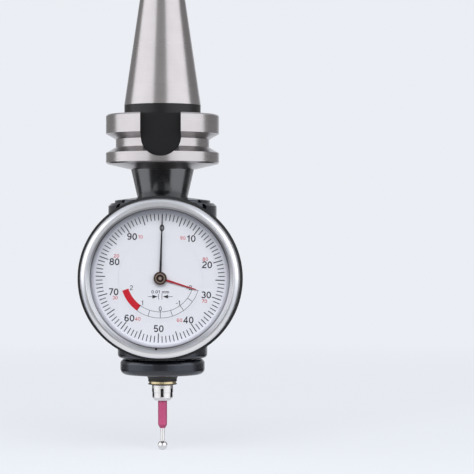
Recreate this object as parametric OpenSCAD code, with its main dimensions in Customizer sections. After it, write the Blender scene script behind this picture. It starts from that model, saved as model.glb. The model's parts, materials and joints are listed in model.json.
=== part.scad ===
// Three-axis edge finder with a dial, on a 7:24 taper shank.
// Z runs up the spindle axis and is zero at the gauge plane of the taper.
// The dial faces -Y. Depths are measured from the spindle axis towards the dial.

/* [Taper shank] */
// Diameter of the taper at its gauge plane
gauge_d = 31.75; // [29:0.05:34]
// Length of the taper above the gauge plane
taper_len = 48.4; // [40:0.1:60]
// Rise of the black relief band above the gauge plane
relief_rise = 1.9; // [1:0.1:3]
// Radius of the black relief band
relief_r = 15.5; // [14:0.1:15.8]
// Gap between the gauge plane and the flange
flange_gap = 2; // [1.5:0.1:3]
// Diameter of the flange
flange_d = 46; // [44:0.5:50]
// Thickness of the flange
flange_t = 20; // [19:0.1:22]
// Depth of the gripper groove below the gauge plane, to its centre
groove_drop = 13.6; // [12.5:0.1:14.5]
// Diameter of the floor of the gripper groove
groove_floor_d = 38; // [36:0.5:40]
// Width of the floor of the gripper groove
groove_floor_w = 3.2; // [2:0.1:4]
// Width of each drive key slot
key_w = 16.1; // [12:0.1:18]
// Distance from the axis to the floor of each drive key slot
key_floor = 16.3; // [16:0.1:18]
// Length of each drive key slot
key_len = 17.5; // [12:0.5:18]
// Drop of the conical underside of the flange
flange_cone = 2.2; // [0.5:0.1:2.8]
// Diameter of the pull stud pilot bore
pilot_d = 12.5; // [11:0.1:13.5]
// Depth of the pull stud pilot bore
pilot_depth = 7; // [4:0.5:9]
// Diameter of the tapped hole for the pull stud
stud_hole_d = 10.2; // [8:0.1:10.6]
// Depth of the tapped hole below the pilot bore
stud_hole_depth = 24; // [16:0.5:28]
// Length of the conical neck
neck_len = 13.5; // [11:0.5:20]
// Radius of the neck under the flange
neck_top_r = 12.8; // [11:0.1:14]
// Radius of the neck at the foot
neck_foot_r = 10.2; // [8:0.1:11]
// Radius of the foot plate
foot_r = 19.4; // [18.8:0.1:20.5]
// Fall of the foot plate's conical top
foot_cone = 1.2; // [0.4:0.1:1.6]
// Thickness of the foot plate at its rim
foot_t = 1.2; // [1:0.1:2]
// Radius of the spigot under the foot plate
spigot_r = 13.6; // [12.5:0.1:13.8]
// Length of the spigot under the foot plate
spigot_len = 8.1; // [7:0.1:8.4]

/* [Housing] */
// Radius of the upper body
body_r = 22; // [21.5:0.1:24]
// Radius of the lower body
lower_r = 18.2; // [17.5:0.1:20]
// Length of the lower body
lower_len = 10.8; // [10.5:0.1:13]
// Rise of the gauge case above the body's top
case_rise = 2.6; // [2:0.1:3]
// Rise of the gauge case's lowest point above the body's foot
case_lift = 0.2; // [0.1:0.1:1]
// Radial play of the spigot in its recess
spigot_play = 0.6; // [0.3:0.1:0.8]
// Depth of the spigot recess
recess_depth = 8.6; // [8.5:0.1:9]
// Radius of the bore for the guide sleeve
sleeve_bore_r = 9.2; // [9:0.05:9.4]
// Length of the guide sleeve
sleeve_len = 15; // [13.5:0.1:15.5]
// Length of the spring chamber above the guide sleeve
spring_room = 9.6; // [9:0.1:11]
// Edge break on turned edges
edge = 1.2; // [0.4:0.1:1.6]

/* [Gauge] */
// Outer radius of the gauge case
case_r = 32.6; // [32:0.1:34]
// Width of the case's rim outside the bezel
rim_w = 1.1; // [0.6:0.1:1.4]
// Width of the bezel's front face
bezel_face_w = 4.3; // [4:0.1:4.8]
// Reach of the case's flare beyond the boss behind it
case_flare = 6.5; // [5.5:0.1:8]
// Depth of the pad that carries the gauge case
pad_depth = 11; // [10.8:0.1:11.6]
// Thickness of the gauge case's back wall
case_back_t = 2; // [1.6:0.1:2.6]
// Depth of the case's inside, from its back wall to its shoulder
case_inside = 11.6; // [11.4:0.1:12.5]
// Thickness of the crystal
crystal_t = 1.2; // [0.8:0.1:1.6]
// Thickness of the dial plates
dial_t = 0.6; // [0.4:0.1:0.8]
// Lean of the main hand at rest, clockwise from straight up
main_hand_lean = 2; // [-3:0.5:3]
// Dip of the turn hand at rest, below the horizontal
turn_hand_dip = 17.5; // [10:0.5:25]

/* [Movement] */
// Travel of the plunger and stylus
travel = 4; // [2:0.1:4]
// Tooth pitch of the rack
rack_pitch = 1; // [1:0.01:1]
// Teeth on the rack pinion
pinion_teeth = 10; // [10:1:10]
// Teeth on the drive wheel
drive_teeth = 80; // [80:1:80]
// Teeth on the centre pinion
centre_teeth = 8; // [8:1:8]
// Teeth on each wheel of the turn hand's pair
turn_teeth = 44; // [44:1:44]
// Radius of the plunger rod
rod_r = 2.5; // [2.3:0.05:2.6]
// Thickness of the back movement plate
back_plate_t = 1.2; // [1:0.1:1.4]
// Space between the movement plates
plate_gap = 5.2; // [5:0.1:5.4]
// Thickness of the front movement plate
front_plate_t = 1.1; // [0.9:0.1:1.2]
// Radius of the arbors
arbor_r = 0.6; // [0.5:0.05:0.65]

/* [Stylus] */
// Radius of the bottom cap
cap_r = 17.15; // [16.5:0.05:18]
// Height of the bottom cap that shows
cap_h = 6.2; // [6:0.1:8]
// Gap between the body and the bottom cap
cap_gap = 0.5; // [0.4:0.1:1]
// Rise of the tilt centre above the guide sleeve's foot
pivot_rise = 5.6; // [5:0.1:6.4]
// Length of the rubber boot that shows
boot_h = 4.1; // [3.6:0.1:4.8]
// Radius of the boot at the cap
boot_top_r = 6.8; // [6.5:0.1:7]
// Radius of the boot at its clip
boot_foot_r = 5.9; // [5.6:0.1:6.2]
// Length of each of the two nuts
nut_h = 3.25; // [2.8:0.05:3.8]
// Radius of the upper nut
nut_r = 4.35; // [4:0.05:4.5]
// Length of the ceramic section
ceramic_h = 11.3; // [9:0.1:14]
// Radius of the ceramic section
ceramic_r = 1.85; // [1.6:0.05:2]
// Radius of the steel stem
stem_r = 0.95; // [0.7:0.05:1.05]
// Diameter of the stylus ball
ball_d = 4; // [3:0.1:5]
// Distance from the ceramic section to the centre of the ball
stem_reach = 7; // [5:0.1:10]

/* [Clearances] */
// Radial clearance of running fits
fit = 0.05; // [0.03:0.01:0.08]
// Play between pieces that pass each other
play = 0.25; // [0.2:0.01:0.3]

/* [Hidden] */

$fn = 64;
// One overrun for every cut
over = 1;
// Steps in each rounded corner of a turned profile
corner_steps = 6;

// Shank
taper_share = 7 / 24;
gauge_r = gauge_d / 2;
tip_r = gauge_r - taper_len * taper_share / 2;
flange_r = flange_d / 2;
groove_r = groove_floor_d / 2;
groove_flank = (flange_r - groove_r) * tan(30);
flange_edge = 0.6;
flange_top_z = -flange_gap;
flange_foot_z = flange_top_z - flange_t;
neck_top_z = flange_foot_z - flange_cone;
foot_top_z = flange_foot_z - neck_len;
foot_rim_z = foot_top_z - foot_cone;
body_top_z = foot_rim_z - foot_t;
foot_notch_w = 1.8;
foot_notch_depth = 1.1;
spigot_foot_z = body_top_z - spigot_len;
key_end_z = flange_top_z - key_len + key_w / 2;

// Shank screws: flat heads in the foot plate, set screws against the spigot
clamp_r = 1.5;
clamp_head_r = 2.8;
clamp_head_h = 1.3;
clamp_reach = 7;
clamp_circle_r = (foot_r + spigot_r + spigot_play) / 2 - play;
clamp_angles = [0, 60, 120, 180];
adjust_r = 1.25;
adjust_len = 5.2;
adjust_drop = 1.6;
adjust_angles = [-38, 38, 142, 218];
socket_share = 0.55;

// Housing
dial_drop = case_r - case_rise;
lower_foot_drop = dial_drop + case_r + case_lift;
body_len = lower_foot_drop - lower_len;
body_foot_z = body_top_z - body_len;
lower_foot_z = body_top_z - lower_foot_drop;
recess_r = spigot_r + spigot_play;
recess_foot_z = body_top_z - recess_depth;
cap_top_z = lower_foot_z - cap_gap;
ledge_drop = 1.2;
ledge_top_z = cap_top_z - ledge_drop;
sleeve_top_z = ledge_top_z + sleeve_len;
chamber_top_z = sleeve_top_z + spring_room;
bush_r = 4;
bush_len = 5;
bush_margin = 0.4;
bush_drop = 2;
upper_bush_top_z = recess_foot_z - bush_drop;
lower_bush_foot_z = chamber_top_z;
lower_bush_top_z = lower_bush_foot_z + bush_len;
cavity_play = 0.9;
rack_cavity_r = rod_r + cavity_play;
boss_depth = 1;
lower_edge = 1.6;

// Radii of the gauge, from the case inwards
bezel_r = case_r - rim_w;
bezel_round = 2.4;
window_r = bezel_r - bezel_face_w;
lip_w = 1.1;
lip_step = 0.15;
lip_drop = 0.9;
lip_t = 0.3;
boss_r = case_r - case_flare;
case_cone = 5;
case_wall = 3.6;
case_in_r = case_r - case_wall;
register_w = 1.4;
register_r = bezel_r - register_w;
register_len = 1.9;
crystal_hold = 1.5;
crystal_r = window_r + crystal_hold;
dial_ring_r = case_in_r - play;
ring_inset = 0.3;
scale_r = window_r - ring_inset;
seam_share = 0.617;
seam_r = scale_r * seam_share;
seam_lap = 0.4;
main_hand_share = 0.952;
main_hand_r = scale_r * main_hand_share;
turn_hand_share = 0.554;
turn_hand_r = scale_r * turn_hand_share;
plate_share = 0.565;
plate_r = case_r * plate_share;
case_modules = 130.4;
wheel_module = case_r / case_modules;

ring_lap = 0.75;
dot_r = 0.5;
dot_t = 0.25;
dot_angle = -3;

// Gauge depths, from the spindle axis forwards
dial_z = body_top_z - dial_drop;
case_floor_depth = pad_depth + case_back_t;
case_shoulder_depth = case_floor_depth + case_inside;
back_plate_depth = case_floor_depth;
pillar_depth = back_plate_depth + back_plate_t;
front_plate_depth = pillar_depth + plate_gap;
motion_depth = front_plate_depth + front_plate_t;
motion_gap = 2.5;
dial_depth = motion_depth + motion_gap;
dial_face_depth = dial_depth + dial_t;
hand_room = 3.2;
crystal_depth = dial_face_depth + hand_room;
crystal_front_depth = crystal_depth + crystal_t;
bezel_front_depth = crystal_front_depth + lip_drop + lip_t;
skirt_depth = case_shoulder_depth + play;
wire_r = 0.4;
wire_groove_share = 1.4;
wire_seat_share = 1.2;
wire_set = 0.75;
wire_depth = skirt_depth + wire_set;
wire_ring_r = register_r + fit;

// Gear train in the dial's plane
rack_module = rack_pitch / PI;
pinion_r = rack_pitch * pinion_teeth / (2 * PI);
pitch_line_x = -0.8 * rod_r;
drive_r = wheel_module * drive_teeth / 2;
centre_r = wheel_module * centre_teeth / 2;
arbor_distance = drive_r + centre_r;
arbor_x = pitch_line_x - pinion_r;
arbor_y = sqrt(pow(arbor_distance, 2) - pow(arbor_x, 2));
arbor_z = dial_z + arbor_y;
mesh_angle = atan2(arbor_y, arbor_x);
addendum_share = 0.7;
dedendum_share = 1.05;
tooth_share = 0.4;
tip_share = 0.2;
pinion_half_w = 1.6;
pinion_len = 2.4;
wheel_t = 0.8;
wheel_rise = 1.2;
wheel_depth = pillar_depth + wheel_rise;
turn_wheel_depth = motion_depth + play;
pinion_pocket_r = pinion_r + rack_module + 2 * play;
arbor_back_depth = -4.8;
jewel_r = 1.8;
jewel_t = 2;
rack_over = 1.4;
rack_top_z = arbor_z + pinion_r + rack_over;
rack_foot_z = arbor_z - pinion_r - travel - rack_over;
upper_bush_foot_z = rack_top_z + bush_margin;
upper_bush_len = upper_bush_top_z - upper_bush_foot_z;

// Movement plates
pillar_r = 1.8;
pillar_hole_r = 1;
pillar_margin = 0.1;
pillar_circle_r = plate_r - pillar_r - pillar_margin;
pillar_angles = [45, 210, 270, 330];
pillar_head_r = 1.9;
pillar_head_h = 0.8;
foot_pin_r = 1;
foot_circle_share = 0.815;
foot_circle_r = seam_r * foot_circle_share;
foot_angles = [0, 225, 300];
case_screw_r = 1.25;
case_screw_head_r = 2.4;
case_screw_head_h = 1.2;
case_screw_len = 6;
case_screw_x_share = 0.59;
case_screw_y_share = 0.46;
case_screw_x = boss_r * case_screw_x_share;
case_screw_y = boss_r * case_screw_y_share;

// Hands
tube_r = 1.15;
turn_hub_r = 1.9;
hand_gap = 0.4;
turn_hand_depth = dial_face_depth + hand_gap;
turn_hand_t = 0.4;
blade_t = 0.22;
main_hub_r = 2.6;
main_hand_depth = turn_hand_depth + turn_hand_t + hand_gap;
main_hub_t = 0.8;
hub_cap_r = 1.2;
hub_cap_t = 0.5;
main_root_w = 1;
main_tip_w = 0.4;
hand_tail = 1.5;
turn_root_w = 1;
turn_tip_w = 0.4;

// Plunger
plate_rise = 0.6;
plate_foot_z = sleeve_top_z + plate_rise;
thrust_plate_t = 1.5;
thrust_plate_r = 5.5;
rod_margin = 1.5;
rod_foot_z = plate_foot_z + thrust_plate_t;
rod_top_z = recess_foot_z - travel - rod_margin;
rod_tenon_r = 1.2;
guide_pin_r = 0.75;
guide_pin_rise = 3;
guide_pin_z = lower_bush_top_z + guide_pin_rise;
guide_pin_out = 5.4;

// Guide sleeve and gimbal
cap_foot_z = cap_top_z - cap_h;
ledge_t = 1.2;
ledge_r = 8.2;
collar_r = 12;
collar_h = 3;
cap_edge = 2.4;
cap_top_edge = 1.7;
sleeve_r = sleeve_bore_r - fit;
sleeve_wall = 1.55;
sleeve_in_r = sleeve_r - sleeve_wall;
pivot_z = ledge_top_z + pivot_rise;
ring_h = 3.6;
ring_gap = 0.7;
ring_r = sleeve_in_r - ring_gap;
ring_wall = 1.9;
ring_in_r = ring_r - ring_wall;
hub_gap = 1.1;
hub_r = ring_in_r - hub_gap;
pin_reach = 1.6;
trunnion_r = 0.8;

// Stylus
thrust_ball_r = 2;
thrust_ball_z = plate_foot_z - fit - thrust_ball_r;
post_r = 1.8;
shaft_r = 2.6;
thread_r = 2;
boot_wall = 0.8;
boot_neck_r = 3.6;
roll_start = 30;
boot_foot_z = cap_foot_z - boot_h;
lip_h = 0.35;
clip_t = 0.9;
clip_set = 0.3;
clip_r = boot_foot_r - clip_set;
clip_in_r = boot_foot_r - boot_wall;
groove_top_z = ledge_top_z - ledge_t;
boot_rim_t = 1.2;
boot_rim_w = 1.1;
boot_rim_r = sleeve_bore_r + boot_rim_w;
nut_split_z = boot_foot_z - nut_h;
nut_foot_z = nut_split_z - nut_h;
nut_step = 0.15;
lock_nut_r = nut_r - nut_step;
lock_cone_w = 1.1;
lock_nut_foot_r = lock_nut_r - lock_cone_w;
notch_w = 1.2;
notch_h = 3.4;
notch_depth = 0.9;
notch_angles = [30, 90, 150, 210, 270, 330];
ceramic_foot_z = nut_foot_z - ceramic_h;
ceramic_cone = 1.4;
tenon_r = 1.2;
tenon_len = 1.8;
stem_shoulder = 0.15;
stem_tenon_r = 0.6;
ball_r = ball_d / 2;
ball_z = ceramic_foot_z - stem_reach;

// Coil springs
lift_wire_r = 0.4;
lift_coil_r = (sleeve_r + sleeve_in_r) / 2;
lift_turns = 4;
plunger_wire_r = 0.3;
plunger_coil_r = 3.9;
plunger_turns = 4;
coil_steps = 16;
wire_sides = 6;
hair_turns = 4;
hair_steps = 18;
hair_w = 0.5;
hair_t = 0.12;
hair_in_r = 1.3;
hair_out_r = 6;
hair_set = 1.5;
hair_depth = front_plate_depth - hair_set;

// Points on an arc of a profile
function arc(x, y, r, from, to) =
    [for (i = [0:corner_steps])
        let (a = from + (to - from) * i / corner_steps)
        [x + r * cos(a), y + r * sin(a)]];

// Outline of a toothed wheel with straight-sided teeth, one tooth on the +X axis
function gear_points(teeth, m) =
    let (r = m * teeth / 2, step = 360 / teeth,
        tip = r + addendum_share * m, root = r - dedendum_share * m,
        root_half = step * tooth_share / 2 * 1.25, tip_half = step * tip_share / 2)
    [for (i = [0:teeth - 1])
        for (p = [[root, -root_half], [tip, -tip_half], [tip, tip_half], [root, root_half]])
            let (a = i * step + p[1])
            [p[0] * cos(a), p[0] * sin(a)]];

// Places children in the dial's plane: X right, Y up, Z towards the viewer
module facing(depth) {
    translate([0, -depth, dial_z]) rotate([90, 0, 0]) children();
}

// A turned disc or ring in the dial's plane
module disc(depth, t, r, hole = 0) {
    facing(depth) difference() {
        cylinder(h = t, r = r);
        if (hole > 0) translate([0, 0, -over]) cylinder(h = t + 2 * over, r = hole);
    }
}

// A turned body from a profile of radius and height
module turned(points) {
    rotate_extrude() polygon(points);
}

// A profile of radius and depth, turned about the dial's axis
module turned_facing(points) {
    facing(0) rotate_extrude() polygon(points);
}

// Repeats children at the given angles on a circle
module around(r, angles) {
    for (a = angles) rotate([0, 0, a]) translate([r, 0, 0]) children();
}

module taper_shank() {
    color("gainsboro") difference() {
        turned([
            [0, taper_len], [tip_r - edge / 2, taper_len], [tip_r, taper_len - edge / 2],
            [gauge_r - relief_rise * taper_share / 2, relief_rise], [relief_r, relief_rise],
            [relief_r, flange_top_z], [flange_r - flange_edge, flange_top_z],
            [flange_r, flange_top_z - flange_edge],
            [flange_r, -groove_drop + groove_floor_w / 2 + groove_flank],
            [groove_r, -groove_drop + groove_floor_w / 2],
            [groove_r, -groove_drop - groove_floor_w / 2],
            [flange_r, -groove_drop - groove_floor_w / 2 - groove_flank],
            [flange_r, flange_foot_z + flange_edge], [flange_r - flange_edge, flange_foot_z],
            [neck_top_r, neck_top_z], [neck_foot_r, foot_top_z],
            [foot_r - foot_t / 4, foot_rim_z], [foot_r, foot_rim_z - foot_t / 4],
            [foot_r, body_top_z], [spigot_r, body_top_z], [spigot_r, spigot_foot_z + edge / 2],
            [spigot_r - edge / 2, spigot_foot_z], [0, spigot_foot_z]]);
        pull_stud_hole();
        for (side = [0, 180]) rotate([0, 0, side]) key_slot();
        around(clamp_circle_r, clamp_angles) clamp_seat();
        around(foot_r - foot_notch_depth, adjust_angles)
            translate([0, -foot_notch_w / 2, body_top_z - over])
                cube([foot_r, foot_notch_w, foot_t + foot_cone + over]);
        drum_room();
    }
}

module pull_stud_hole() {
    translate([0, 0, taper_len - pilot_depth]) cylinder(h = pilot_depth + over, d = pilot_d);
    translate([0, 0, taper_len - pilot_depth - stud_hole_depth])
        cylinder(h = stud_hole_depth + over, d = stud_hole_d);
}

module key_slot() {
    translate([0, -key_floor, key_end_z]) rotate([90, 0, 0])
        cylinder(h = flange_r, d = key_w);
    translate([-key_w / 2, -key_floor - flange_r, key_end_z])
        cube([key_w, flange_r, flange_top_z - key_end_z + over]);
}

// The hole for one clamp screw, with its countersink
module clamp_seat() {
    translate([0, 0, foot_rim_z - clamp_head_h - clamp_reach])
        cylinder(h = clamp_reach + clamp_head_h, r = clamp_r);
    translate([0, 0, foot_rim_z - clamp_head_h])
        cylinder(h = clamp_head_h, r1 = clamp_r, r2 = clamp_head_r);
    translate([0, 0, foot_rim_z]) cylinder(h = foot_cone, r = clamp_head_r);
}

// The space that the gauge case takes out of the shank's foot and the housing
module drum_room() {
    turned_facing([
        [0, pad_depth], [boss_r + play, pad_depth], [case_r + play, pad_depth + case_cone],
        [case_r + play, case_r + case_r], [0, case_r + case_r]]);
}

module housing() {
    color("dimgray") difference() {
        union() {
            turned([
                [0, body_top_z], [body_r - edge, body_top_z], [body_r, body_top_z - edge],
                [body_r, body_foot_z + edge],
                each arc(body_r - edge, body_foot_z + edge, edge, 0, -90),
                [lower_r, body_foot_z],
                each arc(lower_r - lower_edge, lower_foot_z + lower_edge, lower_edge, 0, -90),
                [0, lower_foot_z]]);
            facing(boss_depth) cylinder(h = pad_depth - boss_depth - case_cone, r1 = body_r, r2 = boss_r);
            facing(pad_depth - case_cone) cylinder(h = case_cone, r = boss_r);
        }
        drum_room();
        translate([0, 0, recess_foot_z]) cylinder(h = recess_depth + over, r = recess_r);
        translate([0, 0, recess_foot_z - over]) cylinder(h = 2 * over, r = bush_r - play);
        translate([0, 0, upper_bush_foot_z])
            cylinder(h = recess_foot_z - upper_bush_foot_z - over, r = bush_r);
        translate([0, 0, lower_bush_top_z - over])
            cylinder(h = upper_bush_foot_z - lower_bush_top_z + 2 * over, r = rack_cavity_r);
        translate([0, 0, lower_bush_foot_z - over]) cylinder(h = bush_len + over, r = bush_r);
        translate([0, 0, lower_foot_z - over])
            cylinder(h = chamber_top_z - lower_foot_z + over, r = sleeve_bore_r);
        translate([0, 0, lower_foot_z - over])
            cylinder(h = collar_h - cap_gap + over, r = collar_r + fit);
        around(clamp_circle_r, clamp_angles) clamp_seat();
        adjusters() cylinder(h = body_r, r = adjust_r);
        pin_slot();
        rack_arbor_room();
        case_screw_places() translate([0, 0, -over])
            cylinder(h = case_screw_len - case_back_t + over, r = case_screw_r);
    }
}

// Four radial holes that bear on the spigot
module adjusters() {
    for (a = adjust_angles)
        translate([0, 0, body_top_z - adjust_drop]) rotate([0, 0, a]) rotate([0, 90, 0])
            translate([0, 0, spigot_r]) children();
}

// The slot that keeps the plunger from turning
module pin_slot() {
    slot_w = 2 * (guide_pin_r + 2 * fit);
    translate([-slot_w / 2, 0, guide_pin_z - guide_pin_r - play])
        cube([slot_w, guide_pin_out + play, travel + 2 * guide_pin_r + 2 * play]);
}

// Passage for the rack pinion and its back bush
module rack_arbor_room() {
    facing(-pinion_half_w - play) translate([arbor_x, arbor_y, 0])
        cylinder(h = pad_depth + pinion_half_w + play + over, r = pinion_pocket_r);
    facing(arbor_back_depth - play) translate([arbor_x, arbor_y, 0])
        cylinder(h = -arbor_back_depth, r = jewel_r);
}

// Four screw places in the case's back wall, drilled into the pad behind it
module case_screw_places() {
    facing(pad_depth) for (x = [-case_screw_x, case_screw_x], y = [-case_screw_y, case_screw_y])
        translate([x, y, 0]) rotate([180, 0, 0]) children();
}

module clamp_screws() {
    color("black") around(clamp_circle_r, clamp_angles) difference() {
        union() {
            translate([0, 0, foot_rim_z - clamp_head_h])
                cylinder(h = clamp_head_h, r1 = clamp_r, r2 = clamp_head_r);
            translate([0, 0, foot_rim_z - clamp_head_h - clamp_reach])
                cylinder(h = clamp_reach, r = clamp_r);
        }
        translate([0, 0, foot_rim_z - clamp_head_h])
            cylinder(h = clamp_head_h + over, r = clamp_r * socket_share, $fn = 6);
    }
}

module adjusting_screws() {
    color("black") adjusters() difference() {
        cylinder(h = adjust_len, r = adjust_r);
        translate([0, 0, adjust_len / 2]) cylinder(h = adjust_len, r = adjust_r * socket_share, $fn = 6);
    }
}

module gauge_case() {
    wire_groove = wire_groove_share * wire_r;
    color("dimgray") difference() {
        turned_facing([
            [0, pad_depth], [boss_r, pad_depth], [case_r, pad_depth + case_cone],
            [case_r, case_shoulder_depth], [register_r, case_shoulder_depth],
            [register_r, wire_depth - wire_groove], [register_r - wire_groove, wire_depth - wire_groove],
            [register_r - wire_groove, wire_depth + wire_groove], [register_r, wire_depth + wire_groove],
            [register_r, case_shoulder_depth + register_len],
            [case_in_r, case_shoulder_depth + register_len], [case_in_r, case_floor_depth + case_wall],
            [case_in_r - case_wall, case_floor_depth], [0, case_floor_depth]]);
        facing(pad_depth - over) translate([arbor_x, arbor_y, 0])
            cylinder(h = case_back_t + 2 * over, r = pinion_pocket_r);
        case_screw_places() translate([0, 0, -case_back_t - over])
            cylinder(h = case_back_t + 2 * over, r = case_screw_r);
        case_screw_places() translate([0, 0, -case_back_t])
            cylinder(h = case_screw_head_h, r1 = case_screw_head_r, r2 = case_screw_r);
        facing(pad_depth - over) around(pillar_circle_r, pillar_angles)
            cylinder(h = case_back_t + 2 * over, r = pillar_hole_r);
    }
}

module case_screws() {
    color("silver") case_screw_places() {
        translate([0, 0, -case_back_t])
            cylinder(h = case_screw_head_h, r1 = case_screw_head_r, r2 = case_screw_r);
        translate([0, 0, case_screw_head_h - case_back_t])
            cylinder(h = case_screw_len - case_screw_head_h, r = case_screw_r);
    }
}

module bottom_cap() {
    color("darkslategray") turned([
        [sleeve_bore_r, cap_top_z + collar_h], [collar_r, cap_top_z + collar_h], [collar_r, cap_top_z],
        each arc(cap_r - cap_top_edge, cap_top_z - cap_top_edge, cap_top_edge, 90, 0),
        each arc(cap_r - cap_edge, cap_foot_z + cap_edge, cap_edge, 0, -90),
        [sleeve_bore_r + edge / 2, cap_foot_z], [sleeve_bore_r, cap_foot_z + edge / 2],
        [sleeve_bore_r, groove_top_z - boot_rim_t], [boot_rim_r + fit, groove_top_z - boot_rim_t],
        [boot_rim_r + fit, groove_top_z], [ledge_r, groove_top_z], [ledge_r, ledge_top_z],
        [sleeve_bore_r, ledge_top_z]]);
}

// The boot's rim sits in the cap, rolls over inside it and runs down to the clip
module sealing_boot() {
    roll_r = (ledge_r - boot_top_r) / 2 + boot_wall / 2;
    roll_x = boot_top_r + roll_r;
    roll_z = groove_top_z - boot_rim_t;
    color("black") turned([
        [boot_rim_r, groove_top_z - fit], [roll_x + roll_r, groove_top_z - fit],
        each arc(roll_x, roll_z, roll_r, roll_start, 180),
        [boot_top_r - boot_wall, cap_foot_z],
        [boot_foot_r - boot_wall - lip_h, boot_foot_z + lip_h + clip_t + boot_wall],
        [boot_neck_r, boot_foot_z + 2 * lip_h + clip_t], [boot_neck_r, boot_foot_z],
        [boot_foot_r, boot_foot_z], [boot_foot_r, boot_foot_z + lip_h], [clip_in_r, boot_foot_z + lip_h],
        [clip_in_r, boot_foot_z + lip_h + clip_t], [boot_foot_r, boot_foot_z + lip_h + clip_t],
        [boot_top_r, cap_foot_z], [boot_top_r + boot_wall / 2, roll_z - boot_wall],
        each arc(roll_x, roll_z, roll_r - boot_wall, 180, 0),
        [roll_x + roll_r, groove_top_z - boot_rim_t + fit], [boot_rim_r, groove_top_z - boot_rim_t + fit]]);
}

// Bearing and fixing holes that both movement plates share
module plate_holes(arbor_hole) {
    cylinder(h = over * 4, r = arbor_r + fit);
    translate([arbor_x, arbor_y, 0]) cylinder(h = over * 4, r = arbor_hole);
    around(pillar_circle_r, pillar_angles) cylinder(h = over * 4, r = pillar_hole_r);
}

module back_plate() {
    color("goldenrod") difference() {
        disc(back_plate_depth, back_plate_t, plate_r);
        facing(back_plate_depth - over) plate_holes(pinion_pocket_r);
    }
}

module front_plate() {
    color("goldenrod") difference() {
        disc(front_plate_depth, front_plate_t, plate_r);
        facing(front_plate_depth - over) plate_holes(arbor_r + fit);
    }
}

module plate_pillars() {
    color("khaki") facing(pillar_depth) around(pillar_circle_r, pillar_angles) difference() {
        cylinder(h = plate_gap, r = pillar_r);
        translate([0, 0, -over]) cylinder(h = plate_gap + 2 * over, r = pillar_hole_r);
    }
}

module plate_screws() {
    color("silver") facing(pad_depth + fit) around(pillar_circle_r, pillar_angles) {
        cylinder(h = motion_depth - pad_depth - fit, r = pillar_hole_r - fit);
        translate([0, 0, motion_depth - pad_depth - fit]) difference() {
            cylinder(h = pillar_head_h, r = pillar_head_r);
            translate([-pillar_head_r, -pillar_head_h / 4, pillar_head_h / 2])
                cube([2 * pillar_head_r, pillar_head_h / 2, pillar_head_h]);
        }
    }
}

module dial_feet() {
    color("khaki") facing(motion_depth) around(foot_circle_r, foot_angles)
        cylinder(h = dial_depth - motion_depth, r = foot_pin_r);
}

module dial_plate() {
    step_depth = dial_depth + dial_t / 2 - fit;
    color("white") turned_facing([
        [tube_r + play, dial_depth], [seam_r + seam_lap, dial_depth], [seam_r + seam_lap, step_depth],
        [seam_r - fit, step_depth], [seam_r - fit, dial_face_depth], [tube_r + play, dial_face_depth]]);
}

module bush(foot_z, len) {
    translate([0, 0, foot_z]) difference() {
        cylinder(h = len, r = bush_r);
        translate([0, 0, -over]) cylinder(h = len + 2 * over, r = rod_r + fit);
    }
}

module upper_bush() {
    color("peru") bush(upper_bush_foot_z, upper_bush_len);
}

module lower_bush() {
    color("peru") bush(lower_bush_foot_z, bush_len);
}

module arbor_bush() {
    color("peru") facing(arbor_back_depth - play) translate([arbor_x, arbor_y, 0]) difference() {
        cylinder(h = jewel_t, r = jewel_r);
        translate([0, 0, play]) cylinder(h = jewel_t, r = arbor_r + fit);
    }
}

// A coil spring as one swept tube, seated at both ends
module coil(r, wire, foot_z, top_z, turns) {
    steps = turns * coil_steps;
    rise = top_z - foot_z - 2 * wire;
    rings = [for (i = [0:steps])
        let (a = 360 * i / coil_steps, z = foot_z + wire + rise * i / steps)
        [for (j = [0:wire_sides - 1])
            let (b = 360 * j / wire_sides, out = r + wire * cos(b))
            [out * cos(a), out * sin(a), z + wire * sin(b)]]];
    last = steps * wire_sides;
    polyhedron(
        points = [for (ring = rings) each ring],
        faces = [
            [for (j = [0:wire_sides - 1]) j],
            [for (j = [wire_sides - 1:-1:0]) last + j],
            for (i = [0:steps - 1], j = [0:wire_sides - 1])
                let (a = i * wire_sides + j, b = i * wire_sides + (j + 1) % wire_sides)
                each [[a, a + wire_sides, b], [b, a + wire_sides, b + wire_sides]]]);
}

module lift_spring() {
    color("silver") coil(lift_coil_r, lift_wire_r, sleeve_top_z + fit, chamber_top_z - fit, lift_turns);
}

module plunger_spring() {
    color("silver") coil(plunger_coil_r, plunger_wire_r, rod_foot_z + fit, chamber_top_z - fit,
        plunger_turns);
}

// The flat spiral that takes up backlash at the centre arbor
module hairspring() {
    steps = hair_turns * hair_steps;
    spiral = [for (i = [0:steps]) [hair_in_r + (hair_out_r - hair_in_r) * i / steps, 360 * i / hair_steps]];
    color("steelblue") facing(hair_depth) {
        linear_extrude(height = hair_w) polygon([
            for (p = spiral) [p[0] * cos(p[1]), p[0] * sin(p[1])],
            for (i = [steps:-1:0]) let (p = spiral[i])
                [(p[0] + hair_t) * cos(p[1]), (p[0] + hair_t) * sin(p[1])]]);
        translate([hair_out_r, 0, 0]) cylinder(h = front_plate_depth - hair_depth, r = 2 * hair_t);
    }
}

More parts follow.
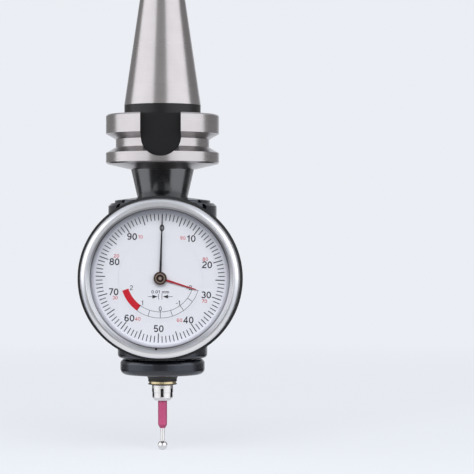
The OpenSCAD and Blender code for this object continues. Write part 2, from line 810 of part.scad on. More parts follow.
module bezel() {
    wire_seat = wire_seat_share * wire_r;
    color("silver") difference() {
        turned_facing([
            [register_r + fit, skirt_depth], [bezel_r - edge / 4, skirt_depth],
            [bezel_r, skirt_depth + edge / 4],
            each arc(bezel_r - bezel_round, bezel_front_depth - bezel_round, bezel_round, 0, 90),
            [bezel_r - bezel_round - lip_step, bezel_front_depth - lip_step],
            [window_r + lip_w, bezel_front_depth - lip_drop], [window_r, bezel_front_depth - lip_drop],
            [window_r, crystal_front_depth], [crystal_r + fit, crystal_front_depth],
            [crystal_r + fit, crystal_depth + play], [register_r + fit, crystal_depth + play],
            [register_r + fit, wire_depth + wire_seat],
            [register_r + wire_seat, wire_depth + wire_seat],
            [register_r + wire_seat, wire_depth - wire_seat],
            [register_r + fit, wire_depth - wire_seat]]);
        dot_place() cylinder(h = lip_drop + over, r = dot_r);
    }
}

// The place of the index dot, three degrees to the left of straight down
module dot_place() {
    facing(bezel_front_depth - lip_drop - dot_t) rotate([0, 0, dot_angle - 90])
        translate([window_r + lip_w / 2, 0, 0]) children();
}

module bezel_wire() {
    color("silver") facing(wire_depth) rotate_extrude() translate([wire_ring_r, 0]) circle(r = wire_r);
}

module crystal() {
    color("aliceblue", 0.4) disc(crystal_depth, crystal_t, crystal_r);
}

module dial_ring() {
    color("whitesmoke") turned_facing([
        [scale_r, dial_depth], [dial_ring_r, dial_depth], [dial_ring_r, crystal_depth],
        [window_r, crystal_depth], [scale_r - ring_lap, dial_face_depth + fit],
        [scale_r, dial_face_depth + fit]]);
}

module scale_ring() {
    step_depth = dial_depth + dial_t / 2;
    color("white") turned_facing([
        [seam_r + seam_lap + fit, dial_depth], [scale_r - fit, dial_depth], [scale_r - fit, dial_face_depth],
        [seam_r, dial_face_depth], [seam_r, step_depth], [seam_r + seam_lap + fit, step_depth]]);
}

module index_dot() {
    color("black") dot_place() cylinder(h = dot_t, r = dot_r);
}

module centre_arbor() {
    color("silver") {
        disc(back_plate_depth + fit, main_hand_depth + main_hub_t - back_plate_depth - fit, arbor_r);
        facing(wheel_depth - (pinion_len - wheel_t) / 2) rotate([0, 0, mesh_angle + 180 / centre_teeth])
            linear_extrude(height = pinion_len) polygon(gear_points(centre_teeth, wheel_module));
    }
}

// A tapered blade along +X with a short tail
module blade(reach, root_w, tip_w, tail, t) {
    linear_extrude(height = t) polygon([
        [-tail, -root_w / 2], [reach - tip_w, -tip_w / 2], [reach, 0], [reach - tip_w, tip_w / 2],
        [-tail, root_w / 2]]);
}

module main_hand() {
    color("black") facing(main_hand_depth) difference() {
        union() {
            cylinder(h = main_hub_t / 2, r = main_hub_r);
            cylinder(h = main_hub_t, r = main_hub_r * 0.75);
            rotate([0, 0, 90 - main_hand_lean])
                blade(main_hand_r, main_root_w, main_tip_w, hand_tail, blade_t);
        }
        translate([0, 0, -over]) cylinder(h = main_hub_t + 2 * over, r = arbor_r);
    }
}

module hub_cap() {
    color("tan") disc(main_hand_depth + main_hub_t, hub_cap_t, hub_cap_r);
}

module turn_tube() {
    color("silver") disc(turn_wheel_depth, turn_hand_depth + turn_hand_t - turn_wheel_depth, tube_r,
        arbor_r + fit);
}

module turn_wheel() {
    color("goldenrod") facing(turn_wheel_depth) difference() {
        rotate([0, 0, mesh_angle + 180 / turn_teeth])
            linear_extrude(height = wheel_t) polygon(gear_points(turn_teeth, wheel_module));
        translate([0, 0, -over]) cylinder(h = wheel_t + 2 * over, r = tube_r);
    }
}

module turn_hand() {
    color("red") facing(turn_hand_depth) difference() {
        union() {
            cylinder(h = turn_hand_t, r = turn_hub_r);
            rotate([0, 0, -turn_hand_dip])
                blade(turn_hand_r, turn_root_w, turn_tip_w, hand_tail, blade_t);
        }
        translate([0, 0, -over]) cylinder(h = turn_hand_t + 2 * over, r = tube_r);
    }
}

module rack_arbor() {
    color("silver") {
        facing(arbor_back_depth) translate([arbor_x, arbor_y, 0])
            cylinder(h = turn_wheel_depth + wheel_t - arbor_back_depth, r = arbor_r);
        facing(-pinion_half_w) translate([arbor_x, arbor_y, 0])
            linear_extrude(height = 2 * pinion_half_w) polygon(gear_points(pinion_teeth, rack_module));
    }
}

// A wheel on the rack arbor, with one tooth on the line to the dial's centre
module arbor_wheel(depth, teeth) {
    facing(depth) translate([arbor_x, arbor_y, 0]) difference() {
        rotate([0, 0, mesh_angle + 180])
            linear_extrude(height = wheel_t) polygon(gear_points(teeth, wheel_module));
        translate([0, 0, -over]) cylinder(h = wheel_t + 2 * over, r = arbor_r);
    }
}

module drive_wheel() {
    color("goldenrod") arbor_wheel(wheel_depth, drive_teeth);
}

module turn_drive_wheel() {
    color("goldenrod") arbor_wheel(turn_wheel_depth, turn_teeth);
}

// Gaps between the rack's teeth, cut into the rod's left flank
module rack_gaps() {
    depth = (addendum_share + dedendum_share) * rack_module;
    tip_x = pitch_line_x - addendum_share * rack_module;
    gap_root = rack_pitch * (1 - 1.25 * tooth_share) / 2;
    gap_tip = rack_pitch * (1 - tip_share) / 2;
    first = ceil((rack_foot_z - arbor_z) / rack_pitch);
    last = floor((rack_top_z - arbor_z) / rack_pitch);
    for (k = [first:last])
        translate([0, rod_r + over, arbor_z + k * rack_pitch]) rotate([90, 0, 0])
            linear_extrude(height = 2 * (rod_r + over)) polygon([
                [tip_x - rod_r, -gap_tip], [tip_x, -gap_tip], [tip_x + depth, -gap_root],
                [tip_x + depth, gap_root], [tip_x, gap_tip], [tip_x - rod_r, gap_tip]]);
    translate([tip_x - rod_r, -rod_r - over, rack_foot_z - rack_pitch / 2])
        cube([rod_r, 2 * (rod_r + over), rack_top_z - rack_foot_z + rack_pitch]);
}

module rack_plunger() {
    color("silver") difference() {
        union() {
            translate([0, 0, rod_foot_z]) cylinder(h = rod_top_z - rod_foot_z, r = rod_r);
            translate([0, 0, rod_foot_z - thrust_plate_t / 2])
                cylinder(h = thrust_plate_t, r = rod_tenon_r);
        }
        rack_gaps();
        translate([0, 0, guide_pin_z]) rotate([-90, 0, 0]) cylinder(h = rod_r + over, r = guide_pin_r);
    }
}

module thrust_plate() {
    color("silver") difference() {
        turned([
            [0, plate_foot_z], [thrust_plate_r - edge / 3, plate_foot_z],
            [thrust_plate_r, plate_foot_z + edge / 3], [thrust_plate_r, rod_foot_z], [0, rod_foot_z]]);
        translate([0, 0, rod_foot_z - thrust_plate_t / 2]) cylinder(h = thrust_plate_t, r = rod_tenon_r);
    }
}

module guide_pin() {
    color("silver") translate([0, 0, guide_pin_z]) rotate([-90, 0, 0])
        cylinder(h = guide_pin_out, r = guide_pin_r);
}

module guide_sleeve() {
    color("silver") difference() {
        translate([0, 0, ledge_top_z]) cylinder(h = sleeve_len, r = sleeve_r);
        translate([0, 0, ledge_top_z - over]) cylinder(h = sleeve_len + 2 * over, r = sleeve_in_r);
        translate([0, 0, pivot_z]) rotate([0, 90, 0])
            cylinder(h = 2 * (sleeve_r + over), r = trunnion_r + fit, center = true);
    }
}

module gimbal_ring() {
    color("silver") difference() {
        translate([0, 0, pivot_z]) cylinder(h = ring_h, r = ring_r, center = true);
        translate([0, 0, pivot_z]) cylinder(h = ring_h + over, r = ring_in_r, center = true);
        translate([0, 0, pivot_z]) rotate([0, 90, 0])
            cylinder(h = 2 * (ring_r + over), r = trunnion_r, center = true);
        translate([0, 0, pivot_z]) rotate([90, 0, 0])
            cylinder(h = 2 * (ring_r + over), r = trunnion_r, center = true);
    }
}

// Two pins run out into the sleeve, two run in to the holder's hub
module gimbal_pins() {
    pin_seat = (ring_in_r + ring_r) / 2;
    out_end = sleeve_r - play;
    in_end = hub_r - pin_reach;
    color("silver") translate([0, 0, pivot_z]) {
        for (a = [0, 180]) rotate([0, 90, a])
            translate([0, 0, ring_in_r]) cylinder(h = out_end - ring_in_r, r = trunnion_r);
        for (a = [90, 270]) rotate([0, 90, a])
            translate([0, 0, in_end]) cylinder(h = pin_seat - in_end, r = trunnion_r);
    }
}

module stylus_holder() {
    color("silver") difference() {
        turned([
            [0, thrust_ball_z], [post_r, thrust_ball_z], [post_r, pivot_z + ring_h / 2],
            [hub_r, pivot_z + ring_h / 2], [hub_r, pivot_z - ring_h / 2],
            [shaft_r, pivot_z - ring_h / 2], [shaft_r, boot_foot_z + 4 * lip_h + clip_t],
            [boot_neck_r, boot_foot_z + 2 * lip_h + clip_t], [boot_neck_r, boot_foot_z],
            [thread_r, boot_foot_z], [thread_r, nut_foot_z + tenon_len], [0, nut_foot_z + tenon_len]]);
        translate([0, 0, thrust_ball_z]) sphere(r = thrust_ball_r);
        translate([0, 0, pivot_z]) rotate([90, 0, 0])
            cylinder(h = 2 * (hub_r + over), r = trunnion_r + fit, center = true);
    }
}

module thrust_ball() {
    color("silver") translate([0, 0, thrust_ball_z]) sphere(r = thrust_ball_r);
}

module boot_clip() {
    color("burlywood") translate([0, 0, boot_foot_z + lip_h]) difference() {
        cylinder(h = clip_t, r = clip_r);
        translate([0, 0, -over]) cylinder(h = clip_t + 2 * over, r = clip_in_r);
    }
}

// Spanner notches across the parting line of the two nuts
module nut_notches() {
    for (a = notch_angles) rotate([0, 0, a])
        translate([nut_r - notch_depth, -notch_w / 2, nut_split_z - notch_h / 2])
            cube([nut_r, notch_w, notch_h]);
}

module holder_nut() {
    color("gainsboro") difference() {
        turned([
            [thread_r, boot_foot_z], [nut_r - edge / 4, boot_foot_z], [nut_r, boot_foot_z - edge / 4],
            [nut_r, nut_split_z + edge / 8], [nut_r - edge / 8, nut_split_z], [thread_r, nut_split_z]]);
        nut_notches();
    }
}

module lock_nut() {
    color("gainsboro") difference() {
        turned([
            [tenon_r, nut_foot_z + tenon_len], [thread_r, nut_foot_z + tenon_len],
            [thread_r, nut_split_z], [lock_nut_r, nut_split_z], [lock_nut_r, nut_foot_z + edge],
            [lock_nut_foot_r, nut_foot_z], [tenon_r, nut_foot_z]]);
        nut_notches();
    }
}

module ceramic_section() {
    color("palevioletred") difference() {
        turned([
            [0, nut_foot_z + tenon_len], [tenon_r, nut_foot_z + tenon_len], [tenon_r, nut_foot_z],
            [ceramic_r, nut_foot_z], [ceramic_r, ceramic_foot_z + ceramic_cone],
            [stem_r + stem_shoulder, ceramic_foot_z], [0, ceramic_foot_z]]);
        translate([0, 0, ceramic_foot_z - over]) cylinder(h = tenon_len + over, r = stem_tenon_r);
    }
}

module stylus_stem() {
    color("silver") {
        translate([0, 0, ceramic_foot_z]) cylinder(h = tenon_len, r = stem_tenon_r);
        difference() {
            translate([0, 0, ball_z]) cylinder(h = stem_reach, r = stem_r);
            translate([0, 0, ball_z]) sphere(r = ball_r);
        }
    }
}

module stylus_ball() {
    color("silver") translate([0, 0, ball_z]) sphere(r = ball_r);
}

taper_shank();
housing();
clamp_screws();
adjusting_screws();
gauge_case();
case_screws();
bottom_cap();
sealing_boot();
back_plate();
front_plate();
plate_pillars();
plate_screws();
dial_feet();
dial_plate();
upper_bush();
lower_bush();
arbor_bush();
lift_spring();
plunger_spring();
hairspring();
bezel();
bezel_wire();
crystal();
dial_ring();
scale_ring();
index_dot();
centre_arbor();
main_hand();
hub_cap();
turn_tube();
turn_wheel();
turn_hand();
rack_arbor();
drive_wheel();
turn_drive_wheel();
rack_plunger();
thrust_plate();
guide_pin();
guide_sleeve();
gimbal_ring();
gimbal_pins();
stylus_holder();
thrust_ball();
boot_clip();
holder_nut();
lock_nut();
ceramic_section();
stylus_stem();
stylus_ball();
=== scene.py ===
# %% [markdown]
# # A 3D edge finder, from CAD frame to picture
# A 3D edge finder is a touch gauge for a milling machine's spindle. Its construction comes
# from the imported CAD model. This notebook gives it its looks: finishes, the print on the
# dial, the rubber boot, a plain studio and a camera.

# %% Load the frame
import bpy
import bmesh
import json
import math
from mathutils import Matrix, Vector


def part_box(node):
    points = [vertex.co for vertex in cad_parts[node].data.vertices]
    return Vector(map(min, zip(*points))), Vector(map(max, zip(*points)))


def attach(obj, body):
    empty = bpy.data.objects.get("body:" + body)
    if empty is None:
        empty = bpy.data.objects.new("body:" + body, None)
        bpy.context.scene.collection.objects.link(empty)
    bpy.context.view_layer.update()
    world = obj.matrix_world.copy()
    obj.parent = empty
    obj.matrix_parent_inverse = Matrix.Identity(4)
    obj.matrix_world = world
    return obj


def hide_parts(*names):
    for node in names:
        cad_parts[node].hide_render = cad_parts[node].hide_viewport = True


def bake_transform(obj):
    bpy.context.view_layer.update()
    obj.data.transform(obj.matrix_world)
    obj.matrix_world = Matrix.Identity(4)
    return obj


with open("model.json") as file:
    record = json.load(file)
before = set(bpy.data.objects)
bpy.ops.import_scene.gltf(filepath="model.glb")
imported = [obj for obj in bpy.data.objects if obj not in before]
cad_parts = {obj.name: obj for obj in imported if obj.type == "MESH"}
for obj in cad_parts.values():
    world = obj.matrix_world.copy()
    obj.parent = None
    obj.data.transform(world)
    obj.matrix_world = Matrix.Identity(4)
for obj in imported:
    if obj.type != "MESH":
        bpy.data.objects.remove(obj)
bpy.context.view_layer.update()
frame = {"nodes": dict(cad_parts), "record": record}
nodes = frame["nodes"]

# %% [markdown]
# ## Measures
# The frame is in metres, with Z up the spindle and the dial facing -Y. Places are read from
# the CAD nodes' boxes, so the print and the boot move with the CAD. Sizes on the object are
# written in millimetres, as on a drawing, and are multiplied by MM.

# %% Measures from the frame
MM = 0.001
dial_low, dial_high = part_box("dial_plate")
DIAL = Vector(((dial_low.x + dial_high.x) / 2, 0, (dial_low.z + dial_high.z) / 2))
DIAL_MM = tuple(c / MM for c in DIAL)
FACE_Y = dial_low.y
FOOT_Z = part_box("stylus_ball")[0].z
# Radius of the bezel's window, in millimetres
WINDOW_R = 27.2
print("dial centre", DIAL, "face", FACE_Y, "foot", FOOT_Z)

# %% [markdown]
# ## Colours, shader nodes and materials
# Colours are written as sRGB hex values, as a paint program shows them. The renderer works
# with linear light, so one function turns them. A second adds a shader node with its
# settings and links, and a third starts a Principled material from constant values.

# %% Material helpers
def linear(hex_colour):
    """An sRGB colour such as "#C8203A" as linear red, green, blue and alpha."""
    out = []
    for i in (1, 3, 5):
        c = int(hex_colour[i:i + 2], 16) / 255
        out.append(c / 12.92 if c <= 0.04045 else ((c + 0.055) / 1.055) ** 2.4)
    return (*out, 1.0)


def add(tree, kind, sockets=None, **settings):
    """Adds a shader node. A socket's value is a constant or another node's output."""
    node = tree.nodes.new(kind)
    for name, value in settings.items():
        setattr(node, name, value)
    for key, value in (sockets or {}).items():
        if isinstance(value, bpy.types.NodeSocket):
            tree.links.new(value, node.inputs[key])
        else:
            node.inputs[key].default_value = value
    return node


def new_material(name, colour, metallic, roughness, **extra):
    """A Principled material with constant values, and its tree and shader."""
    material = bpy.data.materials.new(name)
    material.use_nodes = True
    tree = material.node_tree
    shader = tree.nodes["Principled BSDF"]
    shader.inputs["Base Color"].default_value = linear(colour)
    shader.inputs["Metallic"].default_value = metallic
    shader.inputs["Roughness"].default_value = roughness
    for key, value in extra.items():
        shader.inputs[key.replace("_", " ")].default_value = value
    return material, tree, shader


print("linear grey", linear("#808080")[0])

# %% [markdown]
# ## Where a pattern lies
# A lathe leaves its marks around an axis, so a finish needs to know where a point lies:
# its place on the object, or how far it is from the dial's axis. Both are in millimetres,
# so a pattern can be given its real size. They are fixed to the piece and turn with it.
# A UV map could do the same, but meshes from CAD come without one.

# %% Places in millimetres
def position(tree):
    """The point in millimetres, in the piece's own frame."""
    where = add(tree, "ShaderNodeTexCoord").outputs["Object"]
    return add(tree, "ShaderNodeVectorMath", {0: where, 1: (1 / MM,) * 3}, operation="MULTIPLY").outputs[0]


def towards_dial_axis(tree):
    """The way from a point to the dial's axis, in the dial's plane."""
    way = add(tree, "ShaderNodeVectorMath", {0: DIAL_MM, 1: position(tree)}, operation="SUBTRACT").outputs[0]
    return add(tree, "ShaderNodeVectorMath", {0: way, 1: (1, 0, 1)}, operation="MULTIPLY").outputs[0]


def dial_radius(tree):
    """Distance from the dial's axis."""
    way = towards_dial_axis(tree)
    return add(tree, "ShaderNodeVectorMath", {0: way}, operation="LENGTH").outputs["Value"]


print("dial axis in mm", DIAL_MM)

# %% [markdown]
# ## How a finish varies
# No real surface is the same all over. Each finish here has a pattern, a number that
# changes over the surface. It moves the colour between two close tones, makes the gloss a
# little sharper or softer, and gives a relief of a few thousandths of a millimetre.

# %% Pattern on a finish
# Blender's noise seldom leaves the range from 0.3 to 0.7
NOISE_LOW, NOISE_HIGH = 0.3, 0.7
RELIEF_STRENGTH = 0.5


def uneven_gloss(tree, shader, pattern, low, high):
    """Lets a pattern move the roughness between two values."""
    gloss = add(tree, "ShaderNodeMapRange", {
        "Value": pattern, "From Min": NOISE_LOW, "From Max": NOISE_HIGH, "To Min": low, "To Max": high})
    tree.links.new(gloss.outputs["Result"], shader.inputs["Roughness"])


def uneven_finish(tree, shader, tones, share, pattern, roughness, swing, depth):
    """Lets a share move the colour between two tones, and a pattern the gloss and the relief.

    The swing is how far the roughness leaves its middle, and the depth is in millimetres.
    """
    colour = add(tree, "ShaderNodeMix", {"Factor": share, "A": linear(tones[0]), "B": linear(tones[1])},
                 data_type="RGBA")
    tree.links.new(colour.outputs["Result"], shader.inputs["Base Color"])
    uneven_gloss(tree, shader, pattern, roughness * (1 - swing), roughness * (1 + swing))
    relief = add(tree, "ShaderNodeBump", {
        "Height": pattern, "Strength": RELIEF_STRENGTH, "Distance": depth * MM})
    tree.links.new(relief.outputs["Normal"], shader.inputs["Normal"])


print("noise range", NOISE_LOW, NOISE_HIGH)

# %% [markdown]
# ## Rings of turning and grinding
# A cutting edge or a grinding wheel leaves fine rings about the axis. They stretch each
# highlight across themselves, which an anisotropic shader does without drawing a ring.
# Real rings are about 0.05 mm apart, too fine for a picture of the whole tool, so the
# noise that stands for them is drawn a few times coarser.

# %% Rings
# The stretch of a highlight lies across the rings, a quarter turn from the way they run
QUARTER_TURN = 0.25


def turning_rings(tree, along, pitch):
    """Uneven rings of a turning or grinding pass, with a pitch in mm, as a value from 0 to 1."""
    line = add(tree, "ShaderNodeCombineXYZ", {"X": along}).outputs[0]
    return add(tree, "ShaderNodeTexNoise", {"Vector": line, "Scale": 1 / pitch, "Detail": 3.0,
                                            "Roughness": 0.7}).outputs["Fac"]


def turned_shine(tree, shader, axis, amount):
    """Stretches highlights across the rings about an axis."""
    around = add(tree, "ShaderNodeTangent", direction_type="RADIAL", axis=axis)
    shader.inputs["Anisotropic"].default_value = amount
    shader.inputs["Anisotropic Rotation"].default_value = QUARTER_TURN
    tree.links.new(around.outputs["Tangent"], shader.inputs["Tangent"])


print("a highlight is stretched by", QUARTER_TURN, "of a turn")

# %% [markdown]
# ## Metal of the spindle, metal of the gauge
# Pieces on the spindle were turned about it, so their rings follow each other along Z.
# Pieces of the gauge were turned about the dial's axis, so theirs lie around that. The
# large spindle pieces are handled most, and also get faint clouds of another tone.

# %% Turned metal
# How far the rings move the gloss
RING_SWING = 0.15
# Clouds from handling: 0.12 to a millimetre, or patches of about 8 mm
CLOUD_SCALE = 0.12
# Rings count for 0.6 of the clouds in the tone, and both together are brought back to 0 to 1
RINGS_TO_CLOUDS, TONE_SUM = 0.6, 0.62


def spindle_metal(name, dark, light, roughness, pitch, depth=0.004, shine=0.4):
    """Metal turned or ground about the spindle's axis, with faint clouds from handling."""
    material, tree, shader = new_material(name, light, 1.0, roughness)
    point = position(tree)
    height = add(tree, "ShaderNodeSeparateXYZ", {0: point}).outputs["Z"]
    rings = turning_rings(tree, height, pitch)
    cloud = add(tree, "ShaderNodeTexNoise", {"Vector": point, "Scale": CLOUD_SCALE, "Detail": 2.0})
    both = add(tree, "ShaderNodeMath", {0: rings, 1: RINGS_TO_CLOUDS, 2: cloud.outputs["Fac"]},
               operation="MULTIPLY_ADD")
    share = add(tree, "ShaderNodeMath", {0: both.outputs[0], 1: TONE_SUM}, operation="MULTIPLY").outputs[0]
    uneven_finish(tree, shader, (dark, light), share, rings, roughness, RING_SWING, depth)
    turned_shine(tree, shader, "Z", shine)
    return material


def gauge_metal(name, dark, light, roughness, pitch, depth=0.004, shine=0.3):
    """Metal turned about the dial's axis."""
    material, tree, shader = new_material(name, light, 1.0, roughness)
    rings = turning_rings(tree, dial_radius(tree), pitch)
    uneven_finish(tree, shader, (dark, light), rings, rings, roughness, RING_SWING, depth)
    turned_shine(tree, shader, "Y", shine)
    return material


print("turned metal for the spindle and the gauge")

# %% [markdown]
# ## Steels
# The shank is hardened steel, ground all over: a broad, calm shine with long highlights.
# Nuts, stem and holder are turned steel, brighter and with finer rings. The ball is lapped
# like a bearing ball and mirrors the room.

# %% Steels
# Each has a dark and a light tone, a roughness and a pitch of its rings in millimetres.
# The pitches are at least four times the real ones, or the rings wouldn't show

# Ground and hardened: grey with a warm tinge, and wide soft bands of light
ground_steel = spindle_metal("ground_hardened_steel", "#A19D9D", "#B8B4B5", 0.3, 0.9,
                             depth=0.002, shine=0.6)
# Fine turned: nearly white, with the sparkle of small rings
satin_steel = spindle_metal("satin_turned_steel", "#C6C4C4", "#E8E6E6", 0.3, 0.25)
# Lapped: a clean mirror in which rings hardly show
polished_steel = spindle_metal("lapped_bearing_steel", "#CAC8C8", "#E8E8E8", 0.1, 1.5,
                               depth=0.0005, shine=0.0)
# Hardened small parts: a little darker and yellower from the oven
pinion_steel = spindle_metal("hardened_pinion_steel", "#8E8B88", "#C4C2C0", 0.28, 0.2)
# Drawn wire: dull grey with a soft shine
spring_steel = spindle_metal("drawn_spring_steel", "#7C7A78", "#AFADAB", 0.32, 0.3)
print("steels", [m.name for m in (ground_steel, satin_steel, polished_steel, pinion_steel, spring_steel)])

# %% [markdown]
# ## Brass and bronze
# A watchmaker's movement has brass plates and wheels and bronze bearings. The boot's clip
# is turned brass, pale gold in the photograph. Only the clip shows with the gauge closed.

# %% Brass and bronze
# Rolled sheet: even yellow, half matt
plate_brass = gauge_metal("rolled_brass_sheet", "#A98845", "#CFB069", 0.34, 0.6)
# Turned clip: pale gold that catches a thin line of light
clip_brass = spindle_metal("turned_clip_brass", "#BCA679", "#E6D8B4", 0.25, 0.3)
# Bearing bronze: red-brown and soft in its shine
bearing_bronze = spindle_metal("bearing_bronze", "#80542F", "#B07C4C", 0.35, 0.3)
print("brass and bronze", [m.name for m in (plate_brass, clip_brass, bearing_bronze)])

# %% [markdown]
# ## Painted rings of light and shade
# Some turned pieces have steps too small to be worth modelling, such as the rings on the
# hub. A colour ramp over the distance from the dial's axis paints the highlights and shade
# those steps would catch. The same ramp paints shade on the bezel's lip and on the dial's
# sloping ring.

# %% Painted rings of light and shade
def paint_light_rings(material, rings, blend="CONSTANT"):
    """Paints light and shade in rings from the dial's axis out. Each has an outer radius in mm and a colour.
    """
    tree = material.node_tree
    reach = rings[-1][0]
    share = add(tree, "ShaderNodeMath", {0: dial_radius(tree), 1: reach}, operation="DIVIDE").outputs[0]
    ramp = add(tree, "ShaderNodeValToRGB", {0: share})
    ramp.color_ramp.interpolation = blend
    stops = ramp.color_ramp.elements
    while len(stops) < len(rings):
        stops.new(0.5)
    inner = 0.0
    for stop, (radius, colour) in zip(stops, rings):
        stop.position = (inner if blend == "CONSTANT" else radius) / reach
        stop.color = linear(colour)
        inner = radius
    tree.links.new(ramp.outputs["Color"], tree.nodes["Principled BSDF"].inputs["Base Color"])


# Turned bronze: dark, with painted highlights on two steps and on the middle
hub_bronze = gauge_metal("turned_dark_bronze_painted_highlights", "#4A3A34", "#7D675C", 0.36, 0.35, depth=0.02)
HUB_PAINTED_HIGHLIGHTS = [(0.6, "#C9B8AC"), (0.9, "#5A4740"), (1.5, "#4A3A35"), (1.95, "#B4A297"), (2.6, "#64514B")]
paint_light_rings(hub_bronze, HUB_PAINTED_HIGHLIGHTS)
print("hub", hub_bronze.name)

# %% [markdown]
# ## The bezel
# The bezel is turned metal with a satin face. Its lip runs down to the glass as a shallow
# cone. In the CAD the lip is flat, so its material leans the light towards the axis, as
# the cone would, and a painted dark line next to the window stands for the shade in the
# gap at the glass.

# %% Bezel metals
# The share of the way inward in the leaned normal: a slope of 20 degrees
LIP_LEAN = 0.36
# Widths in millimetres: the painted shade line at the glass, and the whole lip
GAP_SHADE_W, LIP_W = 0.4, 2.0


def coned(material, lean):
    """Leans the light on a flat ring towards the dial's axis, as a shallow cone would."""
    tree = material.node_tree
    turned = add(tree, "ShaderNodeVectorTransform", {0: towards_dial_axis(tree)}, vector_type="VECTOR",
                 convert_from="OBJECT", convert_to="WORLD").outputs[0]
    inward = add(tree, "ShaderNodeVectorMath", {0: turned}, operation="NORMALIZE").outputs[0]
    face = add(tree, "ShaderNodeNewGeometry").outputs["Normal"]
    leaned = add(tree, "ShaderNodeVectorMath", {0: inward, 1: (lean, lean, lean), 2: face},
                 operation="MULTIPLY_ADD").outputs[0]
    tree.links.new(leaned, tree.nodes["Bump"].inputs["Normal"])


# Satin face: pale, with soft wide reflections of the studio
satin_bezel = gauge_metal("satin_turned_bezel", "#C8C9CE", "#E6E7EA", 0.32, 0.35, shine=0.15)
# Lip: greyer, with painted shade in a dark line at the glass
bezel_lip = gauge_metal("coned_bezel_lip_painted_shade", "#A8A9AE", "#C6C7CB", 0.3, 0.3, shine=0.15)
coned(bezel_lip, LIP_LEAN)
paint_light_rings(bezel_lip, [(WINDOW_R + GAP_SHADE_W, "#67676C"), (WINDOW_R + LIP_W, "#A9AAAF")])
print("bezel", satin_bezel.name, bezel_lip.name)

# %% [markdown]
# ## Coatings
# Housing, case and cap are steel with a thin black coating, which has a soft sheen like a
# good tool. The same recipe serves any paint or moulded skin: one colour with a faint
# grain of a real size.

# %% Black coatings
# How far the grain moves the gloss
GRAIN_SWING = 0.1


def coated(name, dark, light, roughness, grain, depth, metallic=0.0, **extra):
    """A paint, coating or moulded skin with a faint grain. Its size and depth are in mm."""
    material, tree, shader = new_material(name, light, metallic, roughness, **extra)
    pattern = add(tree, "ShaderNodeTexNoise", {"Vector": position(tree), "Scale": 1 / grain,
                                               "Detail": 4.0}).outputs["Fac"]
    uneven_finish(tree, shader, (dark, light), pattern, pattern, roughness, GRAIN_SWING, depth)
    return material


# Each has a dark and a light tone, a roughness, and the grain's size and depth in millimetres.
# A real grain is a few hundredths of a millimetre, too fine to show, so it is drawn coarser

# Coated housing and cap: black with a cool sheen
black_coat = coated("black_coated_steel", "#08090D", "#0D0F15", 0.26, 2.5, 0.002,
                    Specular_IOR_Level=0.8, Specular_Tint=(0.82, 0.87, 1.0, 1.0))
# Oxide on the ground neck: deep black with two clear streaks of light
black_gloss = coated("polished_black_oxide", "#040507", "#08090C", 0.2, 4.0, 0.001,
                     Specular_IOR_Level=0.75, IOR=2.0)
# Enamel on the case: a thin bright line along the rim
black_rim = coated("black_enamelled_case", "#07080A", "#0C0E12", 0.24, 3.0, 0.002, Specular_IOR_Level=0.8)
# Oxide in the slots: dull black, so that the slots read as deep
black_relief = coated("black_oxide_steel", "#08080A", "#0F0F12", 0.4, 1.2, 0.004, Specular_IOR_Level=0.35)
# Oxide on screws: as dull, with a finer grain
screw_black = coated("black_oxide_screws", "#0A0A0C", "#121215", 0.35, 0.8, 0.004)
print("black coatings", [m.name for m in (black_coat, black_gloss, black_rim, black_relief, screw_black)])

# %% [markdown]
# ## Dial and hands
# The dial is sheet metal with matt white enamel, printed in black and red. The ring that
# slopes from the scale up to the glass lies in the bezel's shade. Its outer edge also has
# painted shade, greyer towards the glass, because the photograph shows it darker than the
# shade alone makes it.

# %% Enamel, ink and lacquer
# Enamel: cool white, matt enough to show no lamp
enamel = coated("matt_white_enamel", "#E4E6EE", "#EBECF3", 0.55, 1.5, 0.001)
# Sloping ring: satin white, with painted shade that greys it towards the glass
cone_enamel_painted_shade = coated("satin_white_cone_painted_shade", "#E4E6EE", "#EBECF3", 0.45, 1.5, 0.001)
paint_light_rings(cone_enamel_painted_shade, [(26.2, "#DFE1E9"), (26.8, "#BCBDC7"), (27.3, "#8A8B95")], "LINEAR")
# Ink: matt, and not quite black
ink_black = coated("printed_black_ink", "#24242A", "#2E2E36", 0.6, 0.5, 0.001)
ink_red = coated("printed_red_ink", "#BE0A20", "#CC1228", 0.6, 0.5, 0.001)
# Lacquered hands: a slight gloss that sets them off from the print
hand_black = coated("black_lacquered_hand", "#17171B", "#232328", 0.4, 1.0, 0.001)
hand_red = coated("red_lacquered_hand", "#A01426", "#B41E30", 0.4, 1.0, 0.001)
print("dial and hands", [m.name for m in (enamel, cone_enamel_painted_shade, ink_black, ink_red, hand_black, hand_red)])

# %% [markdown]
# ## Rubber, ceramic, blued steel and glass
# The boot is moulded rubber. The pink section of the stylus is a ground ceramic rod, made
# to break before the gauge does. The hairspring is blued by heat.
#
# The crystal is flat glass. A shader that bends light would be truer, but it would keep the
# lamps from the dial. A low alpha lets them through and keeps the faint reflection.

# %% Other materials
# Rubber: dark and dull
rubber = coated("moulded_black_rubber", "#0C0C0F", "#161619", 0.5, 0.5, 0.01)
# Ceramic: an even, strong pink with a mild gloss
ceramic = coated("pink_ground_ceramic", "#B03E6C", "#C45480", 0.3, 0.6, 0.002)
# Blued steel: dark blue, and as bright in its highlights as bare metal
blued_steel = coated("blued_spring_steel", "#1B2748", "#2E4278", 0.25, 1.0, 0.001, metallic=1.0)
